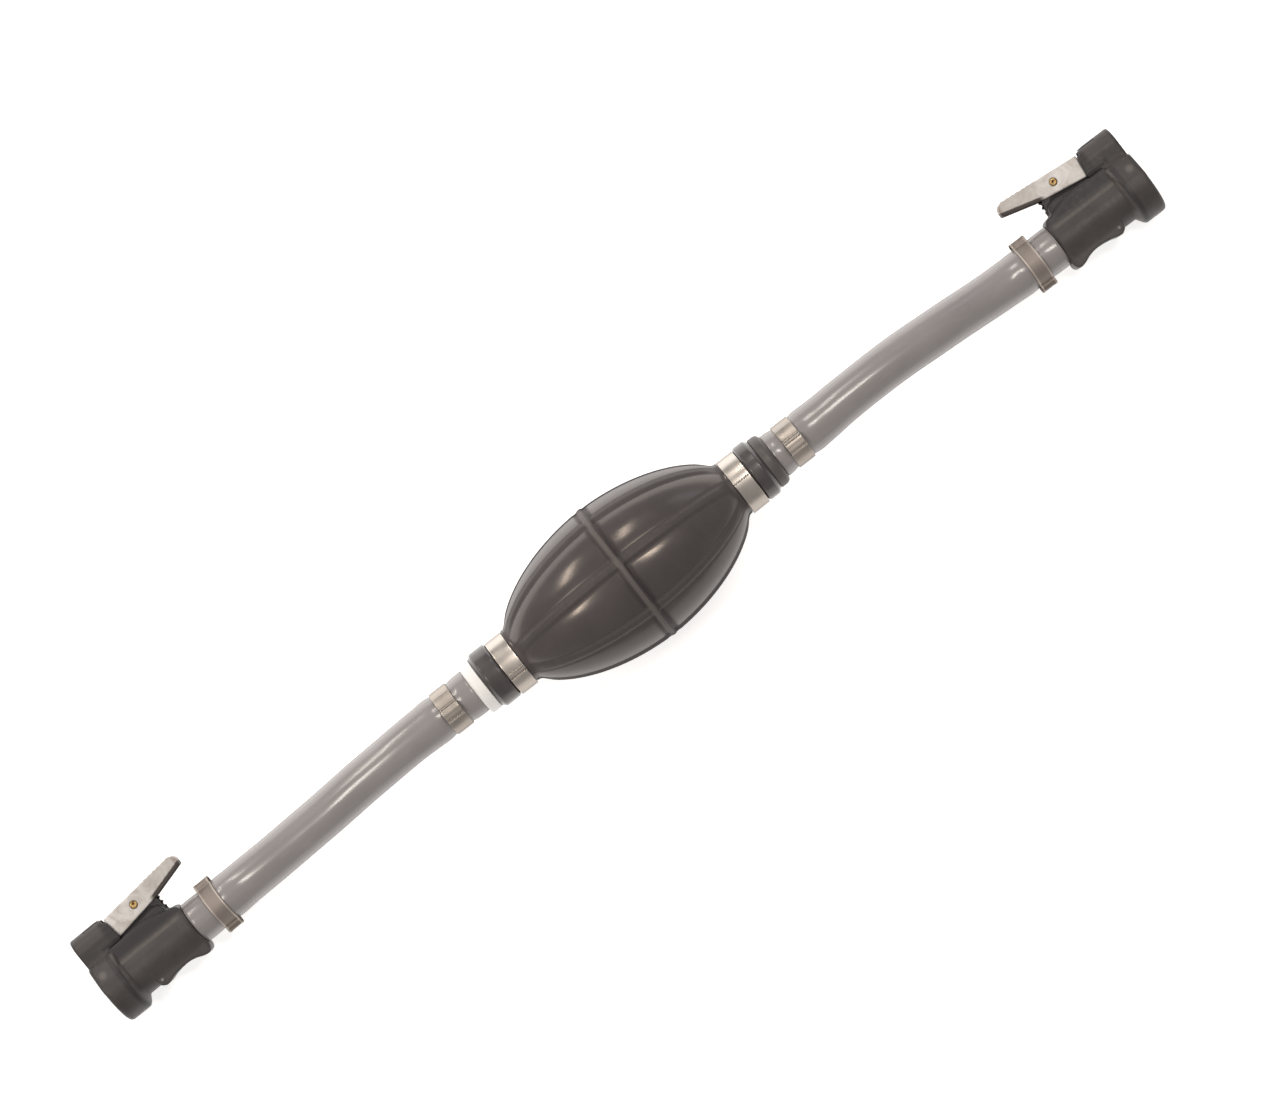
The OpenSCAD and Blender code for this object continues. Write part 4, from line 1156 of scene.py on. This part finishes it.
def latch_lever():
    g = Grid((-10.2, 12.8, -4.6), (34.4, 27.0, 4.6), 0.2)
    outline = [(-9.4, 20.1), (-9.5, 22.3), (-9.2, 23.4), (-8.5, 24.3), (-7.4, 24.8), (-6.2, 24.9), (25, top_v(25)), (24.6, 18.6), (24, 13.5), (23.2, 13.65), (4, 16.6)]
    lever = rmax(np.broadcast_to(g.side(outline), g.shape), np.abs(g.W) - 4.0 + 0 * g.U, 0.45)
    for u in (-6.6, -4.4, -2.2, 0.0, 2.2, 4.4, 6.6):
        ridge = rmax(np.sqrt((g.U - u) ** 2 + (g.V - top_v(u) + 0.3) ** 2) - 0.55 + 0 * g.W, np.abs(g.W) - 3.9 + 0 * g.U, 0.3)
        lever = smin(lever, ridge, 0.3)
    nose = rmax(np.broadcast_to(g.side([(22, 19.9), (22, 20.9), (33.4, 20.9), (33.4, 19.4), (33, 19), (31.8, 19), (31.8, 19.9)]), g.shape),
                np.abs(g.W) - 2.2 + 0 * g.U, 0.15)
    lever = np.minimum(lever, nose)
    hollow = [(-8.2, 14), (-8, 22.4), (-7.2, 23.4), (-6.2, 23.6), (21.6, top_v(21.6) - 1.2), (21.6, 20.8), (22.4, 19.9), (27, 19.9), (27, 10)]
    lever = smax(lever, -rmax(np.broadcast_to(g.side(hollow), g.shape), np.abs(g.W) - 2.9 + 0 * g.U, 0.2), 0.2)
    lever = np.maximum(lever, -(np.sqrt((g.U - PIVOT[0]) ** 2 + (g.V - PIVOT[1]) ** 2) - 1.45 + 0 * g.W))
    return surface(blurred(lever, 0.7), g)


def swapped(V):
    """A shape turned about X, stood along W at the pivot."""
    V = np.array(V, float)
    return np.stack([PIVOT[0] + V[:, 1], PIVOT[1] + V[:, 2], V[:, 0]], 1)


def latch_pin():
    half = [(4.05, 0), (4.05, 0.28), (4.22, 0.5), (4.25, 0.9), (4.20, 1.25), (4.08, 1.46), (3.98, 1.5), (3.98, 1.40), (3.6, 1.40)]
    return lathe([(-4.05, 0)] + [(-x, r) for x, r in half[1:]] + half[::-1][:-1] + [(4.05, 0)], 48)


def coil(length, radius, wire, turns, closed=0.9, sides=14):
    """A wire coil along X with its end turns closed up."""
    n = int(turns * 40)
    a = np.linspace(0, turns * 2 * math.pi, n + 1)
    f = a / (2 * math.pi)
    rate = 0.16 + 0.84 * smooth01((np.minimum(f, turns - f) - closed * 0.55) / 0.5)
    x = np.concatenate([[0], np.cumsum((rate[1:] + rate[:-1]) / 2)])
    x = wire + x / x[-1] * (length - 2 * wire)
    C = np.stack([x, radius * np.cos(a), radius * np.sin(a)], 1)
    T = np.gradient(C, axis=0)
    T /= np.linalg.norm(T, axis=1)[:, None]
    N = np.stack([0 * a, np.cos(a), np.sin(a)], 1)
    B = np.cross(T, N)
    B /= np.linalg.norm(B, axis=1)[:, None]
    q = np.arange(sides) * 2 * math.pi / sides
    shrink = np.ones(n + 1)
    shrink[0] = shrink[-1] = 0.86
    R = C[:, None, :] + wire * shrink[:, None, None] * (np.cos(q)[None, :, None] * N[:, None, :] + np.sin(q)[None, :, None] * B[:, None, :])
    return loft(R)


body_me = mesh_data("coupler_body_shape", *coupler_body(), sharp=None)
cap_me = mesh_data("coupler_cap_shape", *coupler_cap(), sharp=None)
lever_me = mesh_data("latch_lever_shape", *latch_lever(), sharp=None)
stem_me = mesh_data("coupler_stem_shape", *coupler_stem(), sharp=40)
PV, PF = latch_pin()
pin_me = mesh_data("latch_pin_shape", swapped(PV), PF, sharp=60)
for end, at in ENDS:
    piece(f"{end}_coupler_shell", body_me, COUPLER, at, replaces=[f"{end}_coupler_body"])
    piece(f"{end}_coupler_stem", stem_me, COUPLER, at)
    piece(f"{end}_coupler_front", cap_me, COUPLER_FRONT, at, replaces=[f"{end}_coupler_cap"])
    piece(f"{end}_lever", lever_me, LEVER, at, body=f"{end}_latch", replaces=[f"{end}_latch_lever"])
    piece(f"{end}_pivot_pin", pin_me, BRASS, at, replaces=[f"{end}_latch_pin"])


# ------------------------------------------------------------------ springs
def spring(name, at, V, F, mat, node):
    ob = piece(name, mesh_data(name, V, F, sharp=60), mat, at, replaces=[node])
    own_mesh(ob)
    return ob


for end, at in ENDS:
    o, u, v, w = at
    V, F = coil(12.65, 1.05, 0.42, 7.0)
    V = np.stack([5.5 + V[:, 1], 9.65 + V[:, 0], V[:, 2]], 1)
    spring(f"{end}_lever_spring", at, V, F, DARK_SPRING, f"{end}_latch_spring")
    V, F = coil(7.65, 4.4, 0.35, 4.5)
    spring(f"{end}_shutoff_spring", at, shifted(V, 12.05), F, SPRING, f"{end}_port_spring")
V, F = coil(6.3, 3.6, 0.3, 4.5)
spring("outlet_check_spring", AT_BULB, shifted(V, 52.65), F, SPRING, "outlet_valve_spring")
V, F = coil(6.25, 3.6, 0.3, 4.5)
spring("inlet_check_spring", AT_BULB, shifted(V, -53.85), F, SPRING, "inlet_valve_spring")

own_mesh(bulb_ob)

# ------------------------------------------------------------------ CAD pieces that stay
LOOK = {"valve_seat": ACETAL, "valve_retainer": ACETAL, "valve_poppet": ELASTOMER, "port_seal": SEAL, "port_poppet": ACETAL}
for name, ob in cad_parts.items():
    for key, mat in LOOK.items():
        if name.endswith(key):
            ob.data.materials.clear()
            ob.data.materials.append(mat)
            ob.data.shade_smooth()
            ob.data.set_sharp_from_angle(angle=math.radians(30))

# ------------------------------------------------------------------ floor and light
floor_me = bpy.data.meshes.new("floor")
floor_me.from_pydata([(-6, -6, 0), (6, -6, 0), (6, 6, 0), (-6, 6, 0)], [], [(0, 1, 2, 3)])
floor = bpy.data.objects.new("floor", floor_me)
scene.collection.objects.link(floor)
fm = Mat("glowing_floor_paper", (0.86, 0.865, 0.87), rough=0.9, spec=0.2)
fm.color(fm.mix(fm.ramp(fm.noise(14, 3), 0.3, 0.7), (0.85, 0.855, 0.86), (0.88, 0.885, 0.89)))
# painted light: the floor glows as well as reflecting the lamps, more strongly towards +Y
fm.set("Emission Color", (0.98, 0.965, 0.95, 1))
fm.link(fm.soft(fm.axis(1), -0.12, 0.12, 0.47, 1.05), fm.b.inputs["Emission Strength"])
floor_me.materials.append(fm.m)
floor.location = (0, 0, -0.0002)

world = bpy.data.worlds.new("studio")
scene.world = world
world.use_nodes = True
wn = world.node_tree
bg = wn.nodes["Background"]
bg.inputs["Color"].default_value = (1.0, 0.97, 0.95, 1)
bg.inputs["Strength"].default_value = 0.38


def softbox(name, direction, distance, size, radiance, color=(1, 0.96, 0.9), spin=0.0):
    """A rectangular light far along a direction from the bulb, facing it; radiance in scene units."""
    d = Vector(direction).normalized()
    data = bpy.data.lights.new(name, "AREA")
    data.shape = "RECTANGLE"
    data.size, data.size_y = size
    data.energy = radiance * math.pi * size[0] * size[1]
    data.color = color
    ob = bpy.data.objects.new(name, data)
    scene.collection.objects.link(ob)
    ob.location = Vector((0.003, 0, 0.028)) + d * distance
    ob.rotation_mode = "QUATERNION"
    q = d.to_track_quat("Z", "Y")
    ob.rotation_quaternion = q @ Vector((0, 0, 1)).rotation_difference(Vector((0, 0, 1)))
    if spin:
        ob.rotation_quaternion = q @ Matrix.Rotation(math.radians(spin), 3, "Z").to_quaternion()
    return ob


WARM = (1.0, 0.93, 0.86)
softbox("high_left", (-0.474, 0.160, 0.866), 1.6, (0.44, 0.15), 26, WARM)
softbox("high_right", (0.245, 0.167, 0.955), 1.6, (0.44, 0.16), 26, WARM)
softbox("side_left", (-0.356, 0.762, 0.513), 1.6, (0.11, 0.56), 20, WARM, spin=-40)
softbox("side_right", (0.180, 0.745, 0.642), 1.6, (0.11, 0.44), 18, WARM)
softbox("window", (0.73, 0.55, 0.41), 2.2, (0.9, 0.5), 1.0, (0.72, 0.82, 1.0))

scene.view_settings.view_transform = "Standard"
scene.view_settings.look = "None"
